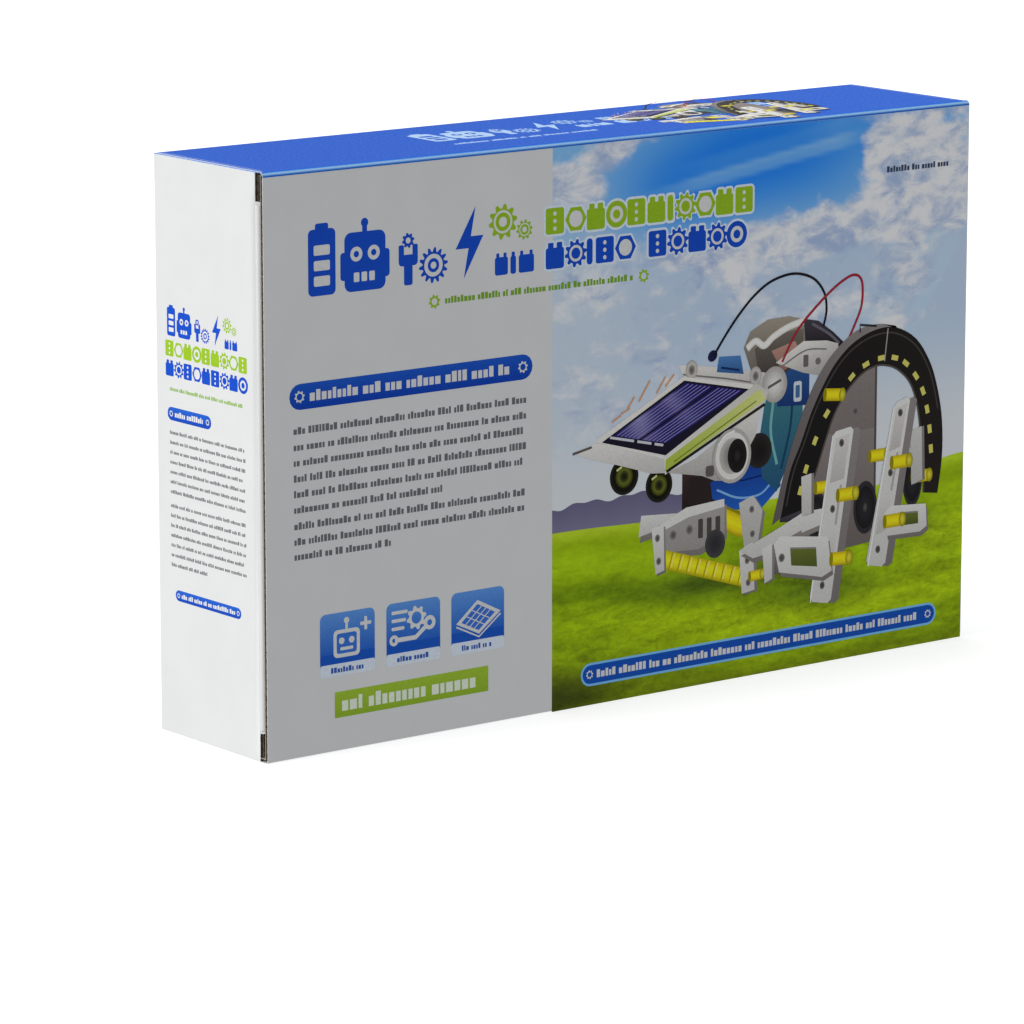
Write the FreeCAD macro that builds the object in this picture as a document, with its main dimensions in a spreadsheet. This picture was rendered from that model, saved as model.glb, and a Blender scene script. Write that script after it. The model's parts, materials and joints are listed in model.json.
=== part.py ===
import FreeCAD, Part
import math
import os
import re

import Sketcher

# A boxed solar robot kit. The carton is a tuck-end box of thin corrugated board that stands on its long
# narrow side: +X runs along the box, -Y is the printed front, +Z is up, and the origin is the middle of the
# face it stands on. Inside, a thermoformed tray opens towards the front and holds the parts of the robot:
# a geared drive unit, the solar head, two arches, legs, links, side frames, cranks, tubes, pins and a hood.
# All sizes are in millimetres.

Vector, Rotation, Placement = FreeCAD.Vector, FreeCAD.Rotation, FreeCAD.Placement

SIZES = {
    # carton: the front panel runs nearly to the ends, and the other three stop behind the end flaps
    "carton_length": 315.0,
    "carton_depth": 65.0,
    "carton_height": 200.0,
    "board": 1.5,
    "crease_radius": 1.4,
    "flap_gap": 0.1,
    "front_inset": 0.2,
    "tuck_length": 14.0,
    "tuck_gap": 1.0,
    "tuck_corner": 8.0,
    "slot_length": 10.0,
    "slot_depth": 0.8,
    "end_flap_inset": 0.2,
    "dust_length": 45.0,
    "dust_taper": 21.0,
    "dust_corner": 5.0,
    "dust_gap": 0.5,
    "glue_flap_width": 20.0,
    "glue_flap_inset": 17.5,
    # tray: a flange at the mouth with pockets behind it, in a low and a high row
    "tray_length": 300.0,
    "tray_bottom": 3.0,
    "tray_height": 194.0,
    "tray_wall": 1.0,
    "tray_mouth": -15.0,
    "tray_back": 29.0,
    "row_low": 9.0,
    "row_high": 104.0,
    "low_row_height": 88.0,
    "high_row_height": 86.0,
    "finger_radius": 9.0,
    "rest": 27.8,
    # papers
    "booklet_length": 210.0,
    "booklet_height": 148.0,
    "booklet_thickness": 1.9,
    "sticker_length": 120.0,
    "sticker_height": 90.0,
    "sticker_thickness": 0.4,
    "paper_gap": 0.1,
    # arches
    "arch_middle": -79.0,
    "arch_foot": 108.0,
    "arch_inner": 36.0,
    "arch_outer": 60.0,
    "arch_plate_thickness": 2.5,
    "tread_inner": 49.0,
    "tread_outer": 64.0,
    "tread_thickness": 7.0,
    "groove_width": 1.6,
    "groove_depth": 1.2,
    "mark_radius": 56.5,
    "mark_length": 6.5,
    "mark_width": 2.2,
    "mark_thickness": 0.4,
    "front_arch_back": 14.0,
    # drive unit: a box split across its depth, with the motor and the three gear planes behind one another
    "drive_x": -113.0,
    "drive_z": 41.0,
    "drive_length": 60.0,
    "drive_height": 62.0,
    "drive_front": -10.0,
    "drive_split": 8.5,
    "drive_back": 27.0,
    "drive_wall": 2.0,
    "drive_corner": 5.0,
    "output_x": -105.0,
    "output_z": 32.0,
    "shaft_radius": 1.5,
    "shaft_overhang": 4.0,
    "running_gap": 0.08,
    "fixed_gap": 0.02,
    "gear_module": 0.8,
    "gear_spacing": 19.4,
    "gear_width": 3.0,
    "pinion_plane": 13.0,
    "middle_plane": 17.0,
    "output_plane": 21.0,
    "motor_radius": 8.0,
    "motor_length": 17.0,
    "motor_nose": 1.4,
    "motor_stub": 0.9,
    "screw_inset": 5.0,
    "screw_radius": 1.2,
    "screw_length": 20.0,
    "screw_head": 1.2,
    # head: it lies face forward, with its wide edge down
    "head_x": 39.0,
    "head_low": 110.0,
    "head_length": 62.0,
    "head_front_half": 36.0,
    "head_back_half": 32.0,
    "head_thickness": 6.0,
    "stripe_inset": 3.0,
    "stripe_width": 2.4,
    "stripe_back": -1.8,
    "panel_length": 58.0,
    "panel_height": 48.0,
    "panel_margin": 5.0,
    "panel_recess": 2.0,
    "panel_clearance": 0.2,
    "knuckle_radius": 3.0,
    "knuckle_length": 9.0,
    "cheek_inside": 27.0,
    "cheek_thickness": 3.0,
    "cheek_height": 28.0,
    "ear_y": 12.0,
    "ear_z": 142.0,
    "ear_radius": 11.0,
    "ear_hub_radius": 6.5,
    "ear_thickness": 6.0,
    "ear_dish": 3.5,
    "pivot_radius": 2.0,
    "neck_hub_radius": 4.0,
    "neck_depth": 5.0,
    "neck_length": 20.0,
    "neck_half": 18.0,
    "eye_spread": 12.0,
    "eye_radius": 7.0,
    "eye_length": 12.0,
    "eye_wall": 1.0,
    # loose parts
    "leg_length": 108.0,
    "leg_width": 13.0,
    "leg_thickness": 8.0,
    "link_length": 60.0,
    "link_width": 10.5,
    "link_thickness": 7.0,
    "hole_radius": 2.1,
    "bar_rim": 2.0,
    "bar_web": 2.5,
    "frame_length": 60.0,
    "frame_width": 34.0,
    "frame_thickness": 8.0,
    "frame_rim": 8.0,
    "crank_x": 118.0,
    "crank_radius": 20.0,
    "crank_thickness": 5.0,
    "crank_hub": 6.0,
    "crank_hole_ring": 12.5,
    "pin_radius": 2.0,
    "pin_length": 14.0,
    "pin_collar_radius": 3.4,
    "pin_y": 8.0,
    "tube_x": 71.0,
    "tube_y": 21.0,
    "tube_radius": 4.2,
    "tube_rib_radius": 5.2,
    "tube_rib_width": 3.2,
    "tube_rib_step": 9.0,
    "tube_length": 70.0,
    "hood_x": 82.0,
    "hood_z": 64.0,
    "hood_radius": 18.0,
    "hood_wall": 2.0,
    "hood_length": 48.0,
}
# Each pocket of the tray: its lowest x, its length along x and its row.
POCKETS = (
    (-146.0, 134.0, "high"),
    (-6.0, 90.0, "high"),
    (90.0, 56.0, "high"),
    (-146.0, 66.0, "low"),
    (-74.0, 134.0, "low"),
    (66.0, 80.0, "low"),
)
SMALL_TEETH, LARGE_TEETH = 12, 36
TREAD_GROOVES, TREAD_MARKS = 24, 13
THROUGH = 2.0  # how much longer than the wall a cutting tool is
SIDES = (("left", -1), ("right", 1))

doc = FreeCAD.newDocument("solar_robot_kit")
sheet = doc.addObject("Spreadsheet::Sheet", "Sizes")
for row, (alias, value) in enumerate(SIZES.items(), 1):
    sheet.set(f"A{row}", alias)
    sheet.set(f"B{row}", str(value))
    sheet.setAlias(f"B{row}", alias)
doc.recompute()

WORDS = re.compile(r"\b(" + "|".join(SIZES) + r")\b")
nodes = []


def formula(text):
    """The expression with each size name pointed at its cell."""
    return WORDS.sub(r"Sizes.\1", str(text))


def bind(thing, **properties):
    """Binds properties, such as Length, to expressions in the sheet's sizes."""
    for name, text in properties.items():
        thing.setExpression(name, formula(text))
    return thing


def place(thing, x=0, y=0, z=0, turn=None):
    """Puts a thing at expressions for x, y and z, after an optional turn."""
    if turn:
        thing.Placement = Placement(Vector(), turn)
    for letter, text in zip("xyz", (x, y, z)):
        thing.setExpression(f"Placement.Base.{letter}", formula(text))
    return thing


def node(thing, label):
    """Marks a thing as a finished sub-part that is written to its own file."""
    thing.Label = label
    nodes.append(thing)
    return thing


# ---------------------------------------------------------------- Part primitives

ALONG = {
    "+X": Rotation(Vector(0, 1, 0), 90),
    "+Y": Rotation(Vector(1, 0, 0), -90),
    "-Y": Rotation(Vector(1, 0, 0), 90),
    "+Z": Rotation(),
}


def block(size, corner, turn=None):
    """A box with its lowest corner at corner."""
    made = doc.addObject("Part::Box", "Block")
    bind(made, Length=size[0], Width=size[1], Height=size[2])
    return place(made, *corner, turn=turn)


def rod(radius, length, start, along="+Y", sweep=360):
    """A cylinder, or a sector of one, from start along an axis."""
    made = doc.addObject("Part::Cylinder", "Rod")
    bind(made, Radius=radius, Height=length)
    made.Angle = sweep
    return place(made, *start, turn=ALONG[along])


def fuse(*things):
    made = doc.addObject("Part::MultiFuse", "Fused")
    made.Shapes = list(things)
    return made


def cut(base, *tools):
    made = doc.addObject("Part::Cut", "Cut")
    made.Base = base
    made.Tool = tools[0] if len(tools) == 1 else fuse(*tools)
    return made


def group(*things):
    """Several separate solids as one sub-part."""
    made = doc.addObject("Part::Compound", "Group")
    made.Links = list(things)
    return made


def edges_where(thing, wanted):
    """Names of the edges of a thing whose bounding box passes a test."""
    doc.recompute()
    return [f"Edge{n}" for n, edge in enumerate(thing.Shape.Edges, 1) if wanted(edge.BoundBox)]


def part_fillet(base, size_name, wanted):
    """Rounds the wanted edges of a Part object by one of the sheet's sizes."""
    made = doc.addObject("Part::Fillet", "Rounded")
    made.Base = base
    radius = SIZES[size_name]
    made.Edges = [(int(name[4:]), radius, radius) for name in edges_where(base, wanted)]
    return made


def runs_along(axis):
    """A test for straight edges that run along one axis only."""

    def wanted(box):
        spans = {"X": box.XLength, "Y": box.YLength, "Z": box.ZLength}
        return spans[axis] > 0.1 and sum(spans.values()) - spans[axis] < 1e-3

    return wanted


# ---------------------------------------------------------------- PartDesign bodies


def new_body(label):
    return node(doc.addObject("PartDesign::Body", label), label)


def new_sketch(body, role):
    sketch = body.newObject("Sketcher::SketchObject", "Outline")
    plane = next(f for f in body.Origin.OriginFeatures if f.Role == role)
    sketch.AttachmentSupport = (plane, [""])
    sketch.MapMode = "FlatFace"
    return sketch


def locate(sketch, geometry, vertex, across, up):
    """Holds a point of the sketch at two expressions measured from its origin."""
    for kind, text in (("DistanceX", across), ("DistanceY", up)):
        index = sketch.addConstraint(Sketcher.Constraint(kind, -1, 1, geometry, vertex, 1.0))
        sketch.setExpression(f"Constraints[{index}]", formula(text))


def polygon(sketch, corners):
    """A closed outline whose corners are pairs of expressions, drawn first as a regular polygon."""
    count = len(corners)
    first = sketch.GeometryCount
    turns = [math.tau * n / count for n in range(count)]
    ring = [Vector(10 * math.cos(turn), 10 * math.sin(turn), 0) for turn in turns]
    for n in range(count):
        sketch.addGeometry(Part.LineSegment(ring[n], ring[(n + 1) % count]))
    for n in range(count):
        following = first + (n + 1) % count
        sketch.addConstraint(Sketcher.Constraint("Coincident", first + n, 2, following, 1))
        locate(sketch, first + n, 1, *corners[n])


def rectangle(sketch, low, high):
    polygon(sketch, [(low[0], low[1]), (high[0], low[1]), (high[0], high[1]), (low[0], high[1])])


def circle(sketch, across, up, radius):
    index = sketch.addGeometry(Part.Circle(Vector(1, 1, 0), Vector(0, 0, 1), 1))
    locate(sketch, index, 3, across, up)
    size = sketch.addConstraint(Sketcher.Constraint("Radius", index, 1.0))
    sketch.setExpression(f"Constraints[{size}]", formula(radius))


def pad(body, sketch, length):
    made = body.newObject("PartDesign::Pad", "Pad")
    made.Profile = sketch
    return bind(made, Length=length)


def cut_through(body, sketch):
    made = body.newObject("PartDesign::Pocket", "Through")
    made.Profile = sketch
    made.Type = "ThroughAll"
    made.Midplane = True
    return made


def cut_recess(body, sketch, depth):
    """A recess cut the same way as the sketch's pad grows."""
    made = body.newObject("PartDesign::Pocket", "Recess")
    made.Profile = sketch
    made.Reversed = True
    return bind(made, Length=depth)


def round_edges(body, base, radius, wanted):
    made = body.newObject("PartDesign::Fillet", "Round")
    made.Base = (base, edges_where(base, wanted))
    return bind(made, Radius=radius)


# ---------------------------------------------------------------- carton


def carton_sleeve():
    """Front, top, back and bottom panels as one folded tube, and the glue flap inside its top back edge."""
    length = "(carton_length - 2 * front_inset)"
    outer = block(
        (length, "carton_depth", "carton_height"), (f"-{length} / 2", "-carton_depth / 2", 0)
    )
    rounded = part_fillet(outer, "crease_radius", runs_along("X"))
    inner = block(
        (f"{length} + 2 * board", "carton_depth - 2 * board", "carton_height - 2 * board"),
        (f"-{length} / 2 - board", "-carton_depth / 2 + board", "board"),
    )
    room = "(board + flap_gap - front_inset)"
    behind_front = ("-carton_depth / 2 + board", "-board")
    ends = [
        block((f"{room} + board", "carton_depth", "carton_height + 2 * board"), (x, *behind_front))
        for x in (f"-{length} / 2 - board", f"{length} / 2 - {room}")
    ]
    node(cut(rounded, inner, *ends), "carton_sleeve")
    flap_length = "(carton_length - 2 * glue_flap_inset)"
    glue_flap = block(
        (flap_length, "board", "glue_flap_width"),
        (
            f"-{flap_length} / 2",
            "carton_depth / 2 - 2 * board",
            "carton_height - board - glue_flap_width",
        ),
    )
    node(glue_flap, "glue_flap")


def end_flap(side, sign):
    """The end panel. Its front edge is creased between two slits, where the edge is cut back."""
    body = new_body(f"{side}_end_flap")
    sketch = new_sketch(body, "YZ_Plane")
    front, back = "-carton_depth / 2 + board + tuck_gap", "carton_depth / 2"
    slit = f"{front} + slot_depth"
    low, high = "end_flap_inset", "carton_height - end_flap_inset"
    polygon(
        sketch,
        [
            (back, low),
            (back, high),
            (slit, high),
            (slit, "carton_height - slot_length"),
            (front, "carton_height - slot_length - slot_depth"),
            (front, "slot_length + slot_depth"),
            (slit, "slot_length"),
            (slit, low),
        ],
    )
    panel = pad(body, sketch, "board")
    outside = 0 if sign < 0 else SIZES["board"]
    upright = runs_along("Z")
    longest = SIZES["carton_height"] / 2
    round_edges(
        body,
        panel,
        "crease_radius",
        lambda box: upright(box) and box.ZLength > longest and abs(box.XMin - outside) < 1e-3,
    )
    place(body, "-carton_length / 2" if sign < 0 else "carton_length / 2 - board")


def tuck_flap(side, sign):
    """The tongue that slides in behind the front panel, with round corners on its free edge."""
    body = new_body(f"{side}_tuck_flap")
    sketch = new_sketch(body, "XZ_Plane")
    low, high = "slot_length + dust_gap", "carton_height - slot_length - dust_gap"
    crease = f"{sign} * (carton_length / 2 - board - flap_gap / 2)"
    tip = f"{sign} * (carton_length / 2 - board - tuck_length)"
    first, last = (crease, tip) if sign < 0 else (tip, crease)
    rectangle(sketch, (first, low), (last, high))
    tongue = pad(body, sketch, "board")
    tip_x = sign * (SIZES["carton_length"] / 2 - SIZES["board"] - SIZES["tuck_length"])
    across = runs_along("Y")
    round_edges(
        body, tongue, "tuck_corner", lambda box: across(box) and abs(box.XMin - tip_x) < 1e-3
    )
    place(body, 0, "-carton_depth / 2 + 2 * board + tuck_gap")


def dust_flap(side, sign, level):
    """A short flap behind the end panel. Its back edge tapers, so that it clears the turning end panel."""
    body = new_body(f"{side}_{level}_dust_flap")
    sketch = new_sketch(body, "YZ_Plane")
    crease, tip = "board + flap_gap", "board + flap_gap + dust_length"
    tip_z = SIZES["board"] + SIZES["flap_gap"] + SIZES["dust_length"]
    if level == "top":
        crease, tip = f"carton_height - ({crease})", f"carton_height - ({tip})"
        tip_z = SIZES["carton_height"] - tip_z
    front = "-carton_depth / 2 + 2 * board + tuck_gap + dust_gap"
    back = "carton_depth / 2 - board - dust_gap"
    polygon(
        sketch,
        [
            (front, crease),
            (back, crease),
            (f"{back} - dust_taper", tip),
            (f"{front} + 4 * dust_gap", tip),
        ],
    )
    flap = pad(body, sketch, "board")
    across = runs_along("X")
    round_edges(
        body, flap, "dust_corner", lambda box: across(box) and abs(box.ZMin - tip_z) < 1e-3
    )
    inset = "(carton_length / 2 - board - 2 * flap_gap)"
    place(body, f"-{inset}" if sign < 0 else f"{inset} - board")


# ---------------------------------------------------------------- tray and papers


def inner_tray():
    """A flange at the mouth, a block behind it for each pocket, and each cavity cut out from the front."""
    flange_front = "tray_mouth - tray_wall"
    solids = [
        block(
            ("tray_length", "tray_wall", "tray_height"),
            ("-tray_length / 2", flange_front, "tray_bottom"),
        )
    ]
    cavities = []
    for x, length, row in POCKETS:
        height = f"{row}_row_height"
        solids.append(
            block(
                (
                    f"{length} + 2 * tray_wall",
                    f"tray_back - ({flange_front})",
                    f"{height} + 2 * tray_wall",
                ),
                (f"{x} - tray_wall", flange_front, f"row_{row} - tray_wall"),
            )
        )
        cavities.append(
            block(
                (length, "tray_back - tray_mouth + tray_wall", height),
                (x, "tray_mouth - 2 * tray_wall", f"row_{row}"),
            )
        )
    for left, right in ((3, 4), (4, 5)):
        gap_middle = (POCKETS[left][0] + POCKETS[left][1] + POCKETS[right][0]) / 2
        start = (gap_middle, "tray_mouth - 2 * tray_wall", "row_low + low_row_height / 2")
        cavities.append(rod("finger_radius", "3 * finger_radius", start))
    node(cut(fuse(*solids), *cavities), "inner_tray")


def papers():
    """The folded instruction booklet and the sticker sheet, standing in front of the tray."""
    back = "-carton_depth / 2 + board + paper_gap"
    floor = "board + paper_gap"
    booklet = block(
        ("booklet_length", "booklet_thickness", "booklet_height"), ("-booklet_length / 2", back, floor)
    )
    node(booklet, "instruction_booklet")
    stickers = block(
        ("sticker_length", "sticker_thickness", "sticker_height"),
        ("-sticker_length / 2", f"{back} + booklet_thickness + paper_gap", floor),
    )
    node(stickers, "sticker_sheet")


# ---------------------------------------------------------------- arches


def half_ring(inner, outer, thickness, back):
    """Half a disc that stands on its feet, growing from its back towards -Y, and the tool that opens it."""
    solid = rod(outer, thickness, ("arch_middle", back, "arch_foot"), "-Y", 180)
    start = ("arch_middle", f"{back} + {THROUGH / 2}", "arch_foot")
    hole = rod(inner, f"{thickness} + {THROUGH}", start, "-Y", 180)
    return solid, hole


def on_arch(radius, degrees, y):
    """A place on a circle about the arch's middle."""
    return (
        f"arch_middle + ({radius}) * cos({degrees})",
        y,
        f"arch_foot + ({radius}) * sin({degrees})",
    )


def arch(side, back):
    """A grey plate, a black grooved tread on it and a row of yellow marks along the tread's face."""
    plate, window = half_ring("arch_inner", "arch_outer", "arch_plate_thickness", back)
    ring = "(arch_inner + tread_inner) / 2"
    depth = f"arch_plate_thickness + {THROUGH}"
    bolts = [
        rod("hole_radius", depth, on_arch(ring, degrees, f"{back} + {THROUGH / 2}"), "-Y")
        for degrees in (12, 51, 90, 129, 168)
    ]
    node(cut(plate, window, *bolts), f"{side}_arch_plate")

    face = f"({back} - arch_plate_thickness)"
    band, hole = half_ring("tread_inner", "tread_outer", "tread_thickness", face)
    grooves = []
    for n in range(TREAD_GROOVES):
        degrees = 180 * (n + 0.5) / TREAD_GROOVES
        start = on_arch("tread_outer - groove_depth", degrees, f"{face} - tread_thickness - {THROUGH / 2}")
        size = (f"groove_depth + {THROUGH}", f"tread_thickness + {THROUGH}", "groove_width")
        grooves.append(block(size, start, turn=Rotation(Vector(0, -1, 0), degrees)))
    node(cut(band, hole, *grooves), f"{side}_arch_tread")

    marks = []
    for n in range(TREAD_MARKS):
        degrees = 180 * (n + 0.5) / TREAD_MARKS
        start = on_arch(
            "mark_radius - mark_width / 2", degrees, f"{face} - tread_thickness - mark_thickness"
        )
        size = ("mark_width", "mark_thickness", "mark_length")
        mark = block(size, start, turn=Rotation(Vector(0, -1, 0), degrees))
        shift = "mark_length / 2"
        bind(
            mark,
            **{
                "Placement.Base.x": f"{start[0]} + {shift} * sin({degrees})",
                "Placement.Base.z": f"{start[2]} - {shift} * cos({degrees})",
            },
        )
        marks.append(mark)
    node(group(*marks), f"{side}_arch_marks")


# ---------------------------------------------------------------- drive unit


def gear_solid(teeth, first_tooth, start, width):
    """A spur gear about the Y axis, from y = start. Its teeth narrow in straight flanks from root to tip."""
    module = SIZES["gear_module"]
    pitch_radius = module * teeth / 2
    root, tip = pitch_radius - 1.2 * module, pitch_radius + 0.8 * module
    pitch = math.tau / teeth
    corners = []
    for n in range(teeth):
        middle = first_tooth + n * pitch
        for radius, part_of_pitch in (
            (root, -0.31),
            (pitch_radius, -0.19),
            (tip, -0.09),
            (tip, 0.09),
            (pitch_radius, 0.19),
            (root, 0.31),
        ):
            turn = middle + part_of_pitch * pitch
            corners.append(Vector(radius * math.cos(turn), start, radius * math.sin(turn)))
    face = Part.Face(Part.makePolygon(corners + corners[:1]))
    return face.extrude(Vector(0, width, 0))


def bored(solid, radius, start, end):
    length = end - start + THROUGH
    along = Vector(0, 1, 0)
    return solid.cut(Part.makeCylinder(radius, length, Vector(0, start - THROUGH / 2, 0), along))


def toothed(label, shape, x, z):
    made = doc.addObject("Part::Feature", label)
    made.Shape = shape.removeSplitter()
    place(made, x, 0, z)
    return node(made, label)


def gear_train():
    """Motor pinion, two stepped idlers and the output gear: three stages of 36 teeth on 12.

    The pinion lies west of the output shaft and the second idler above it. At each mesh, one gear has a tooth
    on the line of centres and the other a gap.
    """
    width = SIZES["gear_width"]
    shaft = SIZES["shaft_radius"]
    bore = shaft + SIZES["running_gap"]
    first, second, third = (SIZES[k] for k in ("pinion_plane", "middle_plane", "output_plane"))
    east, north, west = 0.0, math.pi / 2, math.pi
    half_pitch = math.pi / LARGE_TEETH

    pinion = gear_solid(SMALL_TEETH, east, first, width)
    stub_length = first - SIZES["drive_front"] - 2 * SIZES["drive_wall"]
    stub_length -= SIZES["motor_length"] + SIZES["motor_nose"]
    stub = Part.makeCylinder(
        SIZES["motor_stub"], stub_length, Vector(0, first - stub_length, 0), Vector(0, 1, 0)
    )
    toothed("motor_pinion", pinion.fuse(stub), "output_x - gear_spacing", "output_z")

    idler = gear_solid(LARGE_TEETH, west + half_pitch, first, width)
    idler = idler.fuse(gear_solid(SMALL_TEETH, north, first + width, second - first))
    idler = bored(idler, bore, first, second + width)
    toothed("first_idler_gear", idler, "output_x", "output_z")

    idler = gear_solid(LARGE_TEETH, -north + half_pitch, second, width)
    idler = idler.fuse(gear_solid(SMALL_TEETH, -north, second + width, third - second))
    idler = bored(idler, bore, second, third + width)
    toothed("second_idler_gear", idler, "output_x", "output_z + gear_spacing")

    output = bored(gear_solid(LARGE_TEETH, north + half_pitch, third, width), shaft, third, third + width)
    toothed("output_gear", output, "output_x", "output_z")


def screw_places():
    """The four corners of the drive unit, as pairs of expressions for x and z."""
    across, up = "(drive_length / 2 - screw_inset)", "(drive_height / 2 - screw_inset)"
    return [(f"drive_x + {i} * {across}", f"drive_z + {k} * {up}") for i in (-1, 1) for k in (-1, 1)]


def drive_box(inset, front, back, corner):
    """A block with the drive unit's outline, smaller by inset all round, with rounded upright corners."""
    solid = block(
        (f"drive_length - 2 * {inset}", f"{back} - ({front})", f"drive_height - 2 * {inset}"),
        (f"drive_x - drive_length / 2 + {inset}", front, f"drive_z - drive_height / 2 + {inset}"),
    )
    return part_fillet(solid, corner, runs_along("Y"))


def drive_shell(label, front, back, is_front):
    """Half of the gearbox: a box open at the split, with a wall at one end and a post at each screw."""
    start = f"{front} + drive_wall" if is_front else f"{front} - drive_wall"
    end = f"{back} + drive_wall" if is_front else f"({back} - drive_wall)"
    shell = cut(
        drive_box("0", front, back, "drive_corner"), drive_box("drive_wall", start, end, "screw_inset")
    )
    posts = [rod("screw_radius + 1.8", f"{back} - ({front})", (x, front, z)) for x, z in screw_places()]
    through = f"{back} - ({front}) + {THROUGH}"
    tool_start = f"{front} - {THROUGH / 2}"
    holes = [rod("screw_radius + fixed_gap", through, (x, tool_start, z)) for x, z in screw_places()]
    whole = f"drive_back - drive_front + {THROUGH}"
    holes.append(rod("shaft_radius + running_gap", whole, ("output_x", tool_start, "output_z")))
    solids = [shell, *posts]
    if is_front:
        motor_x = "output_x - gear_spacing"
        inside = "drive_front + drive_wall"
        boss_length = "pinion_plane - flap_gap - drive_front"
        solids.append(rod("shaft_radius + drive_wall", boss_length, ("output_x", front, "output_z")))
        solids.append(rod("motor_radius + drive_wall", "motor_length / 2", (motor_x, front, "output_z")))
        holes.append(rod("motor_radius + fixed_gap", "motor_length", (motor_x, inside, "output_z")))
        switch_slot = ("drive_x + 2 * drive_wall", tool_start, "drive_z + drive_height / 5")
        holes.append(block(("5 * drive_wall", "3 * drive_wall", "5 * drive_wall"), switch_slot))
    else:
        holes.append(
            rod("shaft_radius + fixed_gap", through, ("output_x", tool_start, "output_z + gear_spacing"))
        )
    node(cut(fuse(*solids), *holes), label)


def drive_motor():
    """The motor's can with its nose, and two solder tabs at the back."""
    motor_x = "output_x - gear_spacing"
    start = "drive_front + 2 * drive_wall"
    can = rod("motor_radius", "motor_length", (motor_x, start, "output_z"))
    nose = rod("2 * drive_wall", "motor_nose", (motor_x, f"{start} + motor_length", "output_z"))
    tabs = [
        block(
            ("motor_nose", "motor_nose", "motor_nose / 2"),
            (f"{motor_x} + {shift} - motor_nose / 2", f"{start} - motor_nose", "output_z"),
        )
        for shift in (-5, 5)
    ]
    node(fuse(can, nose, *tabs), "drive_motor")


def gearbox_screws():
    """Four screws with a cross cut in each head."""
    screws = []
    half, slot, arm = "screw_head / 4", "screw_head / 2", "1.4 * screw_head"
    for x, z in screw_places():
        shank = rod("screw_radius", "screw_length", (x, "drive_front", z))
        head = rod("2 * screw_radius", "screw_head", (x, "drive_front - screw_head", z))
        front = "drive_front - screw_head - screw_head / 4"
        flat = block((f"2 * {arm}", "screw_head", slot), (f"{x} - {arm}", front, f"{z} - {half}"))
        upright = block((slot, "screw_head", f"2 * {arm}"), (f"{x} - {half}", front, f"{z} - {arm}"))
        bind(flat, Width="3 * screw_head / 4")
        bind(upright, Width="3 * screw_head / 4")
        screws.append(cut(fuse(shank, head), flat, upright))
    node(group(*screws), "gearbox_screws")


def drive_unit():
    drive_shell("gearbox_front_shell", "drive_front", "drive_split", True)
    drive_shell("gearbox_back_shell", "drive_split", "drive_back", False)
    drive_motor()
    gear_train()
    front = "drive_front - shaft_overhang"
    node(rod("shaft_radius", f"rest - ({front})", ("output_x", front, "output_z")), "output_shaft")
    pin_start = "middle_plane - 1"
    idler_pin = rod(
        "shaft_radius", f"rest - ({pin_start})", ("output_x", pin_start, "output_z + gear_spacing")
    )
    node(idler_pin, "idler_pin")
    gearbox_screws()


# ---------------------------------------------------------------- head


def head_frame():
    """The trapezoid frame that holds the panel, with two cheeks behind it and knuckles on its narrow edge."""
    high = "(head_low + head_length)"
    plate = doc.addObject("PartDesign::Body", "HeadPlate")
    sketch = new_sketch(plate, "XZ_Plane")
    polygon(
        sketch,
        [
            ("head_x - head_front_half", "head_low"),
            ("head_x + head_front_half", "head_low"),
            ("head_x + head_back_half", high),
            ("head_x - head_back_half", high),
        ],
    )
    pad(plate, sketch, "head_thickness")
    recess = block(
        ("panel_length", "panel_recess + panel_recess", "panel_height"),
        ("head_x - panel_length / 2", "-head_thickness - panel_recess", "head_low + panel_margin"),
    )
    cheeks = [
        block(
            ("cheek_thickness", "ear_y + 2 * neck_hub_radius", "cheek_height"),
            (x, 0, "ear_z - cheek_height / 2"),
        )
        for x in ("head_x + cheek_inside", "head_x - cheek_inside - cheek_thickness")
    ]
    spread = "(head_back_half - knuckle_length)"
    knuckles = [
        rod(
            "knuckle_radius",
            "knuckle_length",
            (f"head_x + {place_along} * {spread} - knuckle_length / 2", "-head_thickness / 2", high),
            "+X",
        )
        for place_along in (-1, 0, 1)
    ]
    bore = rod(
        "pivot_radius + running_gap",
        f"2 * (cheek_inside + cheek_thickness) + {THROUGH}",
        (f"head_x - cheek_inside - cheek_thickness - {THROUGH / 2}", "ear_y", "ear_z"),
        "+X",
    )
    node(cut(fuse(plate, *cheeks, *knuckles), recess, bore), "head_frame")


def head_stripe(side, sign):
    """A thin coloured strip along one slanted edge of the frame."""
    body = new_body(f"{side}_head_stripe")
    sketch = new_sketch(body, "XZ_Plane")
    lean = "(head_front_half - head_back_half) / head_length"
    low, high = "stripe_inset", "(head_length - stripe_inset)"
    inner = [f"{sign} * (head_front_half - {lean} * {rise})" for rise in (low, high)]
    outer = [f"{text} + {sign} * mark_thickness" for text in inner]
    corners = [(inner[0], low), (outer[0], low), (outer[1], high), (inner[1], high)]
    polygon(sketch, corners if sign > 0 else corners[::-1])
    pad(body, sketch, "stripe_width")
    place(body, "head_x", "stripe_back", "head_low")


def ear_disc(side, sign):
    """A round ear with a dished face, outside the cheek and on its pivot's line."""
    gap = "(cheek_inside + cheek_thickness + flap_gap)"
    start = f"head_x + {gap}" if sign > 0 else f"head_x - {gap} - ear_thickness"
    disc = rod("ear_radius", "ear_thickness", (start, "ear_y", "ear_z"), "+X")
    dish_start = f"{start} + ear_thickness - ear_dish" if sign > 0 else f"{start} - {THROUGH}"
    dish = rod("ear_hub_radius", f"ear_dish + {THROUGH}", (dish_start, "ear_y", "ear_z"), "+X")
    node(cut(disc, dish), f"{side}_ear_disc")


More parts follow.
